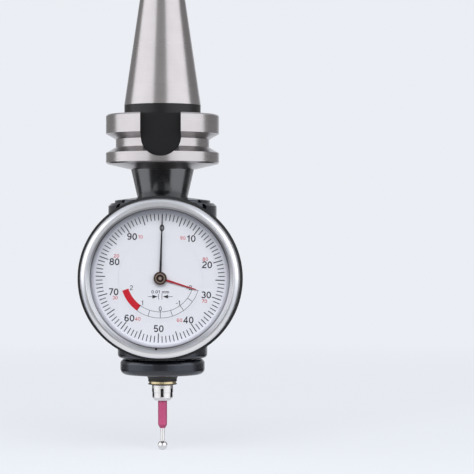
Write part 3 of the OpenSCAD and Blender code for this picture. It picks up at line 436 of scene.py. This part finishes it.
# Glass: only its reflection shows, a little softer where a finger has been.
# Smudges: 0.15 to a millimetre, or patches of about 7 mm
SMUDGE_SCALE, CLEAN_GLASS, SMUDGED_GLASS = 0.15, 0.03, 0.06
glass, glass_tree, glass_shader = new_material("clear_mineral_glass", "#20242A", 0.0, 0.04, Alpha=0.06)
smudge = add(glass_tree, "ShaderNodeTexNoise", {"Vector": position(glass_tree), "Scale": SMUDGE_SCALE})
uneven_gloss(glass_tree, glass_shader, smudge.outputs["Fac"], CLEAN_GLASS, SMUDGED_GLASS)
print("materials", len(bpy.data.materials))

# %% [markdown]
# ## Which piece takes which finish
# The CAD's record names a material slot for each node. A table turns the slot into one of
# the finishes above, so a new screw in the CAD is dressed without a change here.

# %% Finish each CAD node
FINISH = {
    "ground_steel": ground_steel, "black_housing": black_coat, "black_case": black_rim,
    "black_cap": black_coat, "screw_black": screw_black, "steel_screw": pinion_steel,
    "boot_rubber": rubber, "movement_brass": plate_brass, "bronze": bearing_bronze,
    "dial_white": enamel, "spring_steel": spring_steel, "blued_steel": blued_steel,
    "satin_bezel": satin_bezel, "crystal_clear": glass, "pinion_steel": pinion_steel,
    "hand_black": hand_black, "hand_red": hand_red, "hub_bronze": hub_bronze,
    "satin_steel": satin_steel, "clip_brass": clip_brass, "pink_ceramic": ceramic,
    "polished_steel": polished_steel,
}


def finish_with(obj, *materials):
    """Gives an object its materials, with the first on every face."""
    obj.data.materials.clear()
    for material in materials:
        obj.data.materials.append(material)
    for face in obj.data.polygons:
        face.material_index = 0


slot_of = {part["node"]: part["material_slot"] for part in frame["record"]["subparts"]}
for name, obj in nodes.items():
    finish_with(obj, FINISH[slot_of[name]])
finish_with(nodes["dial_ring"], cone_enamel_painted_shade)
print("finished nodes", len(nodes), "slots", len(set(slot_of.values())))

# %% [markdown]
# ## Black places on the shank
# The real shank is blackened all over and then ground, so the black stays where the wheel
# doesn't reach: the drive slots, the relief above the flange and the neck below it. The
# faces there are found by where they lie, and take another of the shank's materials. A
# painted mask could do it too, but sorted faces keep an edge as sharp as the tool left it.

# %% Shank faces
# Heights on Z and distances from the spindle's axis in millimetres, with a little room
FLANGE_R, ROOM = 23.0, 0.05
SLOT_HALF_W, SLOT_TOP, SLOT_FOOT, SLOT_FLOOR = 8.2, -1.9, -19.7, 16.0
RELIEF_TOP, RELIEF_FOOT, RELIEF_R = 1.95, -2.05, 15.9
# The flange's underside is ground, so it isn't part of the neck, which ends on the foot plate
NECK_TOP, NECK_R, PLATE_TOP = -21.9, 22.3, -35.6
UNDERSIDE_FOOT, UNDERSIDE_R = -24.3, 14
RELIEF_SLOT, NECK_FINISH, PLATE_FINISH = 1, 2, 3


def spread(obj, face):
    """Lowest and highest height of a face, its largest radius, and its middle, in millimetres."""
    points = [obj.data.vertices[i].co / MM for i in face.vertices]
    heights = [p.z for p in points]
    return min(heights), max(heights), max(math.hypot(p.x, p.y) for p in points), face.center / MM


shank = nodes["taper_shank"]
finish_with(shank, ground_steel, black_relief, black_gloss, black_coat)
for face in shank.data.polygons:
    low, high, far, mid = spread(shank, face)
    milled = abs(face.normal.y) > 0.999 or abs(face.normal.y) < 0.02
    by_slot = abs(mid.x) < SLOT_HALF_W and abs(mid.y) > SLOT_FLOOR and far < FLANGE_R + ROOM
    in_slot = milled and by_slot and high < SLOT_TOP and low > SLOT_FOOT
    relief = high < RELIEF_TOP and low > RELIEF_FOOT and far < RELIEF_R
    underside = low > UNDERSIDE_FOOT and far > UNDERSIDE_R
    if high < NECK_TOP and far < NECK_R and not underside:
        face.material_index = NECK_FINISH if low > PLATE_TOP else PLATE_FINISH
    elif in_slot or relief:
        face.material_index = RELIEF_SLOT
print("black faces on shank", sum(f.material_index > 0 for f in shank.data.polygons))

# %% [markdown]
# ## Second finishes on bezel, hand and nuts
# The bezel's lip and the hub of the main hand are found by their distance from the dial's
# axis. The faces in the spanner notches of the two nuts take a dull black, as dark as the
# photograph shows them. Their walls are the upright faces that don't look straight out.

# %% Bezel, hand and nut faces
LIP_R, HUB_R = WINDOW_R + 1.2, 2.65
NOTCH_FLOOR_IN, NOTCH_FLOOR_OUT = 3.3, 3.7


def second_finish_within(obj, radius):
    """Puts the second material on the faces within a radius of the dial's axis, in mm."""
    for face in obj.data.polygons:
        points = [obj.data.vertices[i].co / MM for i in face.vertices]
        if max(math.hypot(p.x, p.z - DIAL.z / MM) for p in points) < radius:
            face.material_index = 1


finish_with(nodes["bezel"], satin_bezel, bezel_lip)
second_finish_within(nodes["bezel"], LIP_R)
finish_with(nodes["main_hand"], hand_black, hub_bronze)
second_finish_within(nodes["main_hand"], HUB_R)
for name in ("holder_nut", "lock_nut"):
    nut = nodes[name]
    finish_with(nut, satin_steel, screw_black)
    for face in nut.data.polygons:
        mid = face.center / MM
        reach = math.hypot(mid.x, mid.y)
        outward = (face.normal.x * mid.x + face.normal.y * mid.y) / max(reach, 0.1)
        upright = abs(face.normal.z) < 0.2
        if upright and (abs(outward) < 0.5 or NOTCH_FLOOR_IN < reach < NOTCH_FLOOR_OUT):
            face.material_index = 1
    print(name, "dark faces", sum(f.material_index for f in nut.data.polygons))

# %% [markdown]
# ## Figures for the dial
# Dial makers print plain bold figures with strokes of one width. Each figure here is a few
# lines and bows in a box one high, so the print needs no font.

# %% Figures
def bow(x, y, rx, ry, start, end, steps=10):
    """Points on an oval. Angles are in degrees, anticlockwise from the right."""
    return [(x + rx * math.cos(math.radians(start + (end - start) * i / steps)),
             y + ry * math.sin(math.radians(start + (end - start) * i / steps))) for i in range(steps + 1)]


FIGURES = {
    "0": [bow(0, 0.5, 0.22, 0.42, 90, 450, 20)],
    "1": [[(0.06, 0), (0.06, 0.98)], [(-0.16, 0.7), (0.02, 0.78), (0.07, 0.98)]],
    "2": [bow(0, 0.68, 0.22, 0.24, 165, -25) + [(-0.16, 0.24), (-0.22, 0.07), (0.26, 0.07)]],
    "3": [bow(0, 0.7, 0.2, 0.22, 150, -80), bow(0, 0.29, 0.23, 0.22, 85, -155)],
    "4": [[(0.1, 0), (0.1, 0.92), (-0.24, 0.27), (0.27, 0.27)]],
    "5": [[(0.2, 0.92), (-0.14, 0.92), (-0.19, 0.5)] + bow(0, 0.32, 0.22, 0.25, 130, -150)],
    "6": [bow(0, 0.31, 0.21, 0.24, 90, 450, 16), bow(0.02, 0.5, 0.23, 0.42, 45, 190)],
    "7": [[(-0.24, 0.92), (0.23, 0.92), (-0.06, 0)]],
    "8": [bow(0, 0.72, 0.19, 0.2, 90, 450, 16), bow(0, 0.28, 0.23, 0.22, 90, 450, 16)],
    "9": [bow(0, 0.69, 0.21, 0.24, 90, 450, 16), bow(-0.02, 0.5, 0.23, 0.42, 225, 370)],
    "-": [[(-0.16, 0.4), (0.16, 0.4)]],
    ".": [[(-0.02, 0.07), (0.12, 0.07)]],
    "m": [[(-0.32, 0), (-0.32, 0.68)], bow(-0.16, 0.42, 0.16, 0.2, 180, 0) + [(0, 0)],
          bow(0.16, 0.42, 0.16, 0.2, 180, 0) + [(0.32, 0)]],
    " ": [],
}
# How far each figure moves the next one along, as a share of its height
ADVANCE = {"-": 0.44, ".": 0.28, "m": 0.88, " ": 0.36, "1": 0.5}
USUAL_ADVANCE = 0.66
print("figures", len(FIGURES))

# %% [markdown]
# ## Strokes
# A mark is laid out in the dial's plane, in millimetres: X to the right, Y up. A stroke is
# a row of four-cornered outlines along a path. Where the path bends, neighbours share a
# mitred edge, as a sign painter's flat brush would leave it.

# %% Strokes
SHARPEST_MITRE = 0.4


def stroke(path, width):
    """Outlines of a line of one width through points."""
    path = [Vector(p) for p in path]
    closed = (path[0] - path[-1]).length < 1e-6
    sides = []
    for i, p in enumerate(path):
        before = path[i - 1] if i else (path[-2] if closed else None)
        after = path[i + 1] if i + 1 < len(path) else (path[1] if closed else None)
        a = (p - before).normalized() if before is not None else (after - p).normalized()
        b = (after - p).normalized() if after is not None else a
        along = (a + b).normalized()
        out = Vector((-along.y, along.x)) * (width / 2 / max(SHARPEST_MITRE, along.dot(a)))
        sides.append((p + out, p - out))
    return [[l0, r0, r1, l1] for (l0, r0), (l1, r1) in zip(sides, sides[1:])]


def ray(angle, inner, outer, width):
    """A radial mark. The angle is in degrees, clockwise from the top."""
    a = math.radians(angle)
    return stroke([(r * math.sin(a), r * math.cos(a)) for r in (inner, outer)], width)


def arc(start, end, radius, width, steps=48):
    """A band on a circle. Angles are in degrees, clockwise from the top."""
    return stroke(bow(0, 0, radius, radius, 90 - start, 90 - end, steps), width)


def words(text, x, y, height, weight, widen):
    """Upright figures centred on a point, with strokes as wide as the weight's share of the height."""
    steps = [ADVANCE.get(letter, USUAL_ADVANCE) for letter in text]
    outlines, at = [], -sum(steps) / 2
    for letter, step in zip(text, steps):
        for path in FIGURES[letter]:
            outlines += stroke([(x + (at + step / 2 + px) * height * widen, y + (py - 0.5) * height)
                                for px, py in path], weight * height)
        at += step
    return outlines


print("a figure 8 takes", len(words("8", 0, 0, 1, 0.17, 1)), "outlines")

# %% [markdown]
# ## Ink
# Printed ink stands a little proud of the enamel, so each outline becomes a thin flat
# block on the dial's face. Real ink is a few hundredths of a millimetre thick, and so is
# this. All marks of one colour on one plate make one mesh, which rides on that plate's
# body and turns with it.

# %% Ink
INK_THICK = 0.03 * MM


def print_ink(name, outlines, material, body, turn=0.0):
    """Makes one mesh of all the outlines, turned clockwise about the dial's axis by an angle."""
    points, faces = [], []
    c, s = math.cos(-turn), math.sin(-turn)
    for corners in outlines:
        n, first = len(corners), len(points)
        for depth in (0, INK_THICK):
            points += [(DIAL.x + (x * c - y * s) * MM, FACE_Y - depth, DIAL.z + (x * s + y * c) * MM)
                       for x, y in corners]
        faces.append(tuple(first + n + i for i in range(n)))
        for i in range(n):
            j = (i + 1) % n
            faces.append((first + i, first + j, first + n + j, first + n + i))
    mesh = bpy.data.meshes.new(name)
    mesh.from_pydata(points, [], faces)
    mesh.update()
    obj = bpy.data.objects.new(name, mesh)
    bpy.context.scene.collection.objects.link(obj)
    finish_with(obj, material)
    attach(obj, body)
    print(name, "outlines", len(outlines))


print("ink in mm", INK_THICK / MM)

# %% [markdown]
# ## The turning scale
# A hundred divisions run around the outer ring, one for each 0.01 mm, and every fifth is
# longer. The ring turns with the bezel, and in the photograph it stands 1.9 degrees
# clockwise. Figures near the two sides stand a little further in, because they are wider
# than they are high.

# %% Turning scale
SCALE_TURN = math.radians(1.9)
DIVISIONS, EVERY = 100, 5
LONG_IN, SHORT_IN, MARK_OUT = 21.8, 22.85, 25.5
LONG_W, SHORT_W = 0.38, 0.34
FIGURE_R, SIDE_FIGURE_R = 19.9, 19.25


def figure_place(tens):
    """Where a black figure stands, right and up from the dial's centre."""
    a = math.radians(36 * tens)
    r = SIDE_FIGURE_R if abs(math.sin(a)) > 0.9 else FIGURE_R
    return r * math.sin(a), r * math.cos(a)


scale = []
for i in range(DIVISIONS):
    inner, width = (LONG_IN, LONG_W) if i % EVERY == 0 else (SHORT_IN, SHORT_W)
    scale += ray(360 / DIVISIONS * i, inner, MARK_OUT, width)
for tens in range(10):
    scale += words(str(10 * tens), *figure_place(tens), height=2.72, weight=0.17, widen=1.17)
print_ink("scale_ring_marks", scale, ink_black, "bezel_body", SCALE_TURN)

# %% [markdown]
# ## Red figures
# Small red figures count the other way, for touching from the other side. Each stands
# beside the black figure of the same mark, at a place read from the photograph.

# %% Red figures
# The red figure, the tens of the black one, and how far right and up from it
RED_FIGURES = [
    ("10", 9, 3.35, 0.0), ("20", 8, 0.7, 2.3), ("30", 7, 0.7, -2.3), ("40", 6, 3.35, -0.2),
    ("60", 4, -3.55, -0.2), ("70", 3, -0.6, -2.5), ("80", 2, -0.8, 2.2), ("90", 1, -3.35, 0.1),
]
red = []
for text, tens, right, up in RED_FIGURES:
    x, y = figure_place(tens)
    red += words(text, x + right, y + up, height=1.45, weight=0.13, widen=1.22)
print_ink("scale_ring_red_figures", red, ink_red, "bezel_body", SCALE_TURN)

# %% [markdown]
# ## The fixed centre plate
# A small scale shows whole millimetres from 2 to -2 for the red hand: two thin bows with
# rungs between them. It spans 144 degrees about the lowest point of the dial. It doesn't
# turn with the bezel, so its print rides on the body that holds the gauge.

# %% Millimetre scale
# Radii and widths in millimetres, angles in degrees. Half a millimetre of lift is 18 degrees
SMALL_IN, SMALL_OUT, SMALL_FIGURES = 13.3, 15.7, 12.0
BOW_W, FINE_W = 0.17, 0.2
BOTTOM, HALF_SPAN = 180, 72
HALF_STEP, WHOLE_STEP = 18, 36
centre = arc(BOTTOM - HALF_SPAN, BOTTOM + WHOLE_STEP, SMALL_IN, BOW_W)
centre += arc(BOTTOM - HALF_SPAN, BOTTOM + WHOLE_STEP, SMALL_OUT, BOW_W)
for i in range(7):
    longer = 0.3 if i % 2 == 0 else 0
    centre += ray(BOTTOM - HALF_SPAN + HALF_STEP * i, SMALL_IN - longer, SMALL_OUT + 0.1, FINE_W)
for i, text in enumerate(("-2", "-1", "0", "1", "2")):
    a = math.radians(BOTTOM - HALF_SPAN + WHOLE_STEP * i)
    x, y = SMALL_FIGURES * math.sin(a), SMALL_FIGURES * math.cos(a)
    centre += words(text, x, y, height=1.95, weight=0.13, widen=1.05)
print("outlines on the small scale", len(centre))

# %% [markdown]
# ## Division mark and red sector
# Two arrows that point at two lines show the width of a division, 0.01 mm. The red sector
# between 2 and 1 warns of too little travel. It is one wide bow, as high as the scale.

# %% Division mark and red sector
DIVISION_Y, ARROW_Y, ARROW_HALF_H = -5.35, -7.25, 0.75
LINE_X, LINE_TOP, LINE_FOOT = 0.65, -6.1, -8.4
ARROW_TIP, ARROW_BACK, TAIL_START, TAIL_END = 1.0, 3.1, 2.6, 4.9
centre += words("0.01 mm", 0.0, DIVISION_Y, height=1.25, weight=0.18, widen=1.36)
for side in (-1, 1):
    centre += stroke([(side * LINE_X, LINE_FOOT), (side * LINE_X, LINE_TOP)], FINE_W)
    centre += stroke([(side * TAIL_START, ARROW_Y), (side * TAIL_END, ARROW_Y)], FINE_W)
    centre.append([(side * ARROW_TIP, ARROW_Y), (side * ARROW_BACK, ARROW_Y + ARROW_HALF_H),
                   (side * ARROW_BACK, ARROW_Y - ARROW_HALF_H)])
print_ink("centre_plate_marks", centre, ink_black, "holder_body")
sector = arc(BOTTOM + WHOLE_STEP, BOTTOM + HALF_SPAN, (SMALL_IN + SMALL_OUT) / 2,
             SMALL_OUT - SMALL_IN + 0.2, steps=16)
print_ink("centre_plate_sector", sector, ink_red, "holder_body")

# %% [markdown]
# ## The rubber boot
# The boot keeps chips and coolant out of the gap between cap and stylus. It is round, so
# each of its pieces is a profile that is carried around the axis, as a lathe would cut it.
# A cloth simulation could bend it, but moulded rubber this thick keeps its form, and here
# each piece is made in its resting shape.

# %% Lathe
def lathe(name, profile, material, steps=96):
    """A turned piece from a closed profile of radius and height, in millimetres."""
    points, faces, n = [], [], len(profile)
    for i in range(steps):
        a = 2 * math.pi * i / steps
        points += [(r * math.cos(a) * MM, r * math.sin(a) * MM, z * MM) for r, z in profile]
    for i in range(steps):
        for j in range(n):
            k, m = (i + 1) % steps, (j + 1) % n
            faces.append((i * n + j, k * n + j, k * n + m, i * n + m))
    mesh = bpy.data.meshes.new(name)
    mesh.from_pydata(points, [], faces)
    build = bmesh.new()
    build.from_mesh(mesh)
    bmesh.ops.recalc_face_normals(build, faces=build.faces)
    build.to_mesh(mesh)
    build.free()
    mesh.shade_smooth()
    obj = bpy.data.objects.new(name, mesh)
    bpy.context.scene.collection.objects.link(obj)
    finish_with(obj, material)
    print(name, "faces", len(faces))
    return obj


print("lathe ready")

# %% [markdown]
# ## Rim, roll and two cones
# The boot crosses three joints: the lift, the tilt about X and the tilt about Y. It has a
# rim in the cap, a roll and an upper cone inside the cap, and a lower cone that shows. The
# rim rides on the body that holds the gauge, and the other three are made in their resting
# shape.

# %% Boot
# Radii and heights in millimetres. The roll is a bow of 180 degrees, and its two legs part at 80
ROLL_R, ROLL_OUT, ROLL_IN = 7.9, 1.15, 0.35
RIM_R, RIM_IN_R, RIM_H = 10.25, 9.05, 1.1
WAIST_R, WAIST_IN_R = 6.85, 6.05
PARTING = 80
cap_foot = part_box("bottom_cap")[0].z / MM
boot_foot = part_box("sealing_boot")[0].z / MM
roll_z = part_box("sealing_boot")[1].z / MM - ROLL_OUT
rim_top = roll_z + RIM_H
rim_profile = [(RIM_R, roll_z), (RIM_R, rim_top), (RIM_IN_R, rim_top), (RIM_IN_R, roll_z)]
rim = lathe("boot_rim", rim_profile, rubber)
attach(rim, "holder_body")
outer_leg = bow(ROLL_R, roll_z, ROLL_OUT, ROLL_OUT, 0, PARTING, 8)
outer_leg += bow(ROLL_R, roll_z, ROLL_IN, ROLL_IN, PARTING, 0, 8)
roll = lathe("boot_roll", outer_leg, rubber)
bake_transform(roll)
waist = cap_foot + 0.9
inner_leg = bow(ROLL_R, roll_z, ROLL_IN, ROLL_IN, PARTING, 180, 8)
inner_leg += [(7.2, roll_z - 0.8), (WAIST_R, waist + 1), (WAIST_R, waist)]
inner_leg += [(WAIST_IN_R, waist), (WAIST_IN_R, roll_z - 1)]
inner_leg += bow(ROLL_R, roll_z, ROLL_OUT, ROLL_OUT, 180, PARTING, 8)
upper = lathe("boot_cone_upper", inner_leg, rubber)
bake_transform(upper)

# %% [markdown]
# ## The cone that shows
# The lower cone narrows to a seat with a groove for the clip ring. Its profile runs from
# the waist down the outside, around the groove and back up the inside. With it in place,
# the CAD's plain boot is hidden.

# %% Lower cone
# Radii in millimetres. The groove lies from 0.32 to 1.28 mm above the foot
EDGE_R, BEAD_R, GROOVE_R, STEM_SEAT_R = 5.85, 5.9, 5.08, 3.6
groove_foot, groove_top = boot_foot + 0.32, boot_foot + 1.28
outside = [(WAIST_R, waist), (6.8, cap_foot), (6.5, cap_foot - 0.6), (6.1, cap_foot - 1.25)]
outside += [(EDGE_R, cap_foot - 1.9), (5.8, groove_top + 0.35), (BEAD_R, groove_top + 0.1)]
groove = [(EDGE_R, groove_top), (GROOVE_R, groove_top), (GROOVE_R, groove_foot), (EDGE_R, groove_foot)]
foot = [(BEAD_R, groove_foot - 0.1), (5.8, boot_foot), (STEM_SEAT_R, boot_foot)]
inside = [(STEM_SEAT_R, boot_foot + 1.6), (4.7, boot_foot + 2.0), (6.0, cap_foot), (WAIST_IN_R, waist)]
cone = lathe("boot_cone_lower", outside + groove + foot + inside, rubber)
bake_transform(cone)
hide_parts("sealing_boot")
print("boot from", boot_foot, "to", roll_z + ROLL_OUT)

# %% [markdown]
# ## Paper
# A product photographer stands the object on a sheet of paper that curves up behind it, so
# that no edge shows. Here the paper's own colour gives the pale background. What the
# camera sees is in part that tone and in part light, which keeps the object's shadow. Away
# from the object the tone takes over, so the sheet ends without a line on every side.

# %% Paper material
PAPER = "#EBEEF4"
# The share of the picture's paper that is its own tone, near the object
TONE_SHARE = 0.74
# Distances from the frame's origin, in metres, between which the tone takes over
NEAR, AWAY = 0.2, 0.8
# Uncoated paper: no gloss, so nothing mirrors in it and shadows stay soft
paper, paper_tree, paper_shader = new_material("pale_studio_paper", PAPER, 0.0, 1.0,
                                               Specular_IOR_Level=0.0)
paper_shader.inputs["Emission Color"].default_value = linear(PAPER)


def background_rays(tree):
    """One where a camera, mirror or glass looks at the background, and zero for its light."""
    rays = add(tree, "ShaderNodeLightPath").outputs
    seen = add(tree, "ShaderNodeMath", {0: rays["Is Camera Ray"], 1: rays["Is Glossy Ray"]},
               operation="MAXIMUM").outputs[0]
    return add(tree, "ShaderNodeMath", {0: seen, 1: rays["Is Transmission Ray"]},
               operation="MAXIMUM").outputs[0]


place = add(paper_tree, "ShaderNodeNewGeometry").outputs["Position"]
reach = add(paper_tree, "ShaderNodeVectorMath", {0: place}, operation="LENGTH").outputs["Value"]
fade = add(paper_tree, "ShaderNodeMapRange", {"Value": reach, "From Min": NEAR, "From Max": AWAY})
away = fade.outputs["Result"]
tone = add(paper_tree, "ShaderNodeMath", {0: away, 1: 1 - TONE_SHARE, 2: TONE_SHARE},
           operation="MULTIPLY_ADD").outputs[0]
glow = add(paper_tree, "ShaderNodeMath", {0: background_rays(paper_tree), 1: tone}, operation="MULTIPLY")
lit = add(paper_tree, "ShaderNodeMix", {"Factor": away, "A": linear("#8C8F93"), "B": linear("#000000")},
          data_type="RGBA")
paper_tree.links.new(glow.outputs[0], paper_shader.inputs["Emission Strength"])
paper_tree.links.new(lit.outputs["Result"], paper_shader.inputs["Base Color"])
print("paper", paper.name)

# %% [markdown]
# ## The sweep
# The sheet is a side view of a few points that is drawn out to both sides: flat under the
# object, then a quarter round, then straight up. The same sheet maker serves the boards
# further down.

# %% Paper sweep
# In metres, seen from the side. The quarter round has a point every 6 degrees
FRONT_Y, FLAT_Y, BACK_Y, BEND_R, TOP_Z, HALF_W = -3.0, -0.5, 1.3, 0.5, 2.2, 3.0
side_view = [(FRONT_Y, FOOT_Z), (FLAT_Y, FOOT_Z)]
for a in [math.radians(6 * i) for i in range(16)]:
    side_view.append((BACK_Y - BEND_R + BEND_R * math.sin(a), FOOT_Z + BEND_R * (1 - math.cos(a))))
side_view.append((BACK_Y, TOP_Z))


def sheet(name, rows, material):
    """A sheet from rows of points across, with smooth shading."""
    across = len(rows[0])
    faces = [(j * across + i, j * across + i + 1, (j + 1) * across + i + 1, (j + 1) * across + i)
             for j in range(len(rows) - 1) for i in range(across - 1)]
    mesh = bpy.data.meshes.new(name)
    mesh.from_pydata([p for row in rows for p in row], [], faces)
    mesh.shade_smooth()
    obj = bpy.data.objects.new(name, mesh)
    bpy.context.scene.collection.objects.link(obj)
    finish_with(obj, material)
    return obj


sheet("paper_sweep", [[(-HALF_W, y, z), (HALF_W, y, z)] for y, z in side_view], paper)
print("sweep points", len(side_view))

# %% [markdown]
# ## Soft boxes
# Round metal shows what stands around it, so a photographer places the lamps by what the
# metal shows. Two wide soft boxes, left and right, give the taper its bright bands, and
# their edges are where the bands end in the photograph. A third, high in front, lights the
# dial, which is matt. It doesn't show in the metal.

# %% Soft boxes
# Lamps and boards face this point near the object's middle. Sizes are in metres, turns in degrees
AIM = Vector((0, 0, -0.06))


def around_object(turn, rise, distance):
    """A place around the object. The turn counts from the camera towards the right, in degrees."""
    a, b = math.radians(turn), math.radians(rise)
    return AIM + Vector((math.sin(a) * math.cos(b), -math.cos(a) * math.cos(b), math.sin(b))) * distance


def soft_box(name, turn, rise, distance, width, height, radiance):
    """A soft box that faces the object, with a surface as bright as its radiance says."""
    light = bpy.data.lights.new(name, "AREA")
    light.shape, light.size, light.size_y = "RECTANGLE", width, height
    light.energy = radiance * math.pi * width * height
    obj = bpy.data.objects.new(name, light)
    obj.location = around_object(turn, rise, distance)
    obj.rotation_euler = (AIM - obj.location).to_track_quat("-Z", "Y").to_euler()
    bpy.context.scene.collection.objects.link(obj)
    return obj


soft_box("soft_box_left", turn=-64, rise=5, distance=1.1, width=2.05, height=1.6, radiance=1.1)
soft_box("soft_box_right", turn=54.5, rise=5, distance=1.1, width=1.83, height=1.6, radiance=1.1)
front = soft_box("soft_box_front", turn=0, rise=35, distance=1.9, width=2.2, height=1.4, radiance=3.9)
front.visible_glossy = False

# %% [markdown]
# ## Boards for reflections
# Between the soft boxes the metal would show the pale room. Boards that only mirrors and
# metal see give it something darker or brighter instead. A photographer has to hide such
# boards beyond the picture's edge, and here the camera just doesn't see them.

# %% Board makers
def board_paint(name, tone):
    """Matt board paint. It shines by itself, so that its tone in the metal is its own."""
    material, _, shader = new_material(name, "#101012", 0.0, 0.9, Emission_Strength=tone)
    shader.inputs["Emission Color"].default_value = linear("#FFFFFF")
    return material


def for_metal_only(board):
    """Hides a board from everything but mirrors and metal."""
    board.visible_camera = board.visible_diffuse = board.visible_shadow = False


def standing_board(name, material, turn, rise, distance, width, height):
    """A flat board that faces the object."""
    middle = around_object(turn, rise, distance)
    side = Vector((math.cos(math.radians(turn)), math.sin(math.radians(turn)), 0)) * width / 2
    up = (AIM - middle).cross(side).normalized() * height / 2
    rows = [[middle - side - up, middle + side - up], [middle - side + up, middle + side + up]]
    for_metal_only(sheet(name, rows, material))


def floor_board(name, material, near, far, start, end):
    """A fan-shaped board on the floor, between two distances and two turns in degrees."""
    turns = [math.radians(start + (end - start) * i / 12) for i in range(13)]
    rows = [[(math.sin(t) * r, -math.cos(t) * r, FOOT_Z + MM) for t in turns] for r in (near, far)]
    for_metal_only(sheet(name, rows, material))


print("board makers ready")

# %% [markdown]
# ## Where the boards stand
# Each board's place was found by what the metal shows in the photograph.
#
# - A pale grey board in front gives the taper its middle band. Two darker ones, at the
#   back left and back right, give the dark edges.
# - A white board on the floor brightens the undersides of the flange and the bezel.
# - Black boards on the floor make the black neck and cap dark.

# %% Boards
# Painted card: in the metal each is one flat tone, from black to the white of the background
black_card = board_paint("black_studio_card", 0.0)
grey_card = board_paint("grey_studio_card", 0.33)
pale_card = board_paint("pale_grey_studio_card", 0.5)
white_card = board_paint("white_studio_card", 1.0)
standing_board("grey_card_front", pale_card, turn=-5, rise=22, distance=1.2, width=0.85, height=1.25)
standing_board("grey_card_left", grey_card, turn=-133, rise=0, distance=0.95, width=0.95, height=1.6)
standing_board("grey_card_right", grey_card, turn=125, rise=0, distance=0.95, width=1.14, height=1.6)
floor_board("white_card_floor", white_card, near=0.02, far=0.165, start=-80, end=80)
floor_board("black_card_floor", black_card, near=0.165, far=0.7, start=-50, end=34)
floor_board("black_card_floor_left", black_card, near=0.1, far=0.7, start=-150, end=-102)
floor_board("black_card_floor_right", black_card, near=0.1, far=0.7, start=96, end=150)

# %% [markdown]
# ## The room
# Beyond the paper the room has the paper's tone for the camera, mirrors and glass. Its
# light on matt surfaces is only a dim grey fill, so the soft boxes shape the object.

# %% Room
FILL = "#7C7F86"
world = bpy.data.worlds.new("studio")
bpy.context.scene.world = world
world.use_nodes = True
sky = world.node_tree
room = add(sky, "ShaderNodeMix", {"Factor": background_rays(sky), "A": linear(FILL), "B": linear(PAPER)},
           data_type="RGBA")
sky.links.new(room.outputs["Result"], sky.nodes["Background"].inputs["Color"])
bpy.context.scene.view_settings.view_transform = "Standard"
print("world", world.name)

# %% [markdown]
# ## Camera
# The photograph looks straight at the dial from a little to the right, with the object in
# the left third of the picture. A level camera about 0.8 m in front does the same. Its
# height and lens keep the object's heights in the picture as in the photograph.

# %% Camera
# Metres from the frame's origin, and millimetres for film and lens
CAMERA_RIGHT, CAMERA_FRONT, CAMERA_HEIGHT = 0.0303, 0.79, -0.0516
FILM_MM, LENS_MM = 36, 147.4
lens = bpy.data.cameras.new("camera")
lens.sensor_width = FILM_MM
lens.lens = LENS_MM
camera = bpy.data.objects.new("camera", lens)
camera.location = (CAMERA_RIGHT, -CAMERA_FRONT, CAMERA_HEIGHT)
camera.rotation_euler = (math.radians(90), 0, 0)
bpy.context.scene.collection.objects.link(camera)
bpy.context.scene.camera = camera
print("camera", tuple(camera.location), "lens", lens.lens)
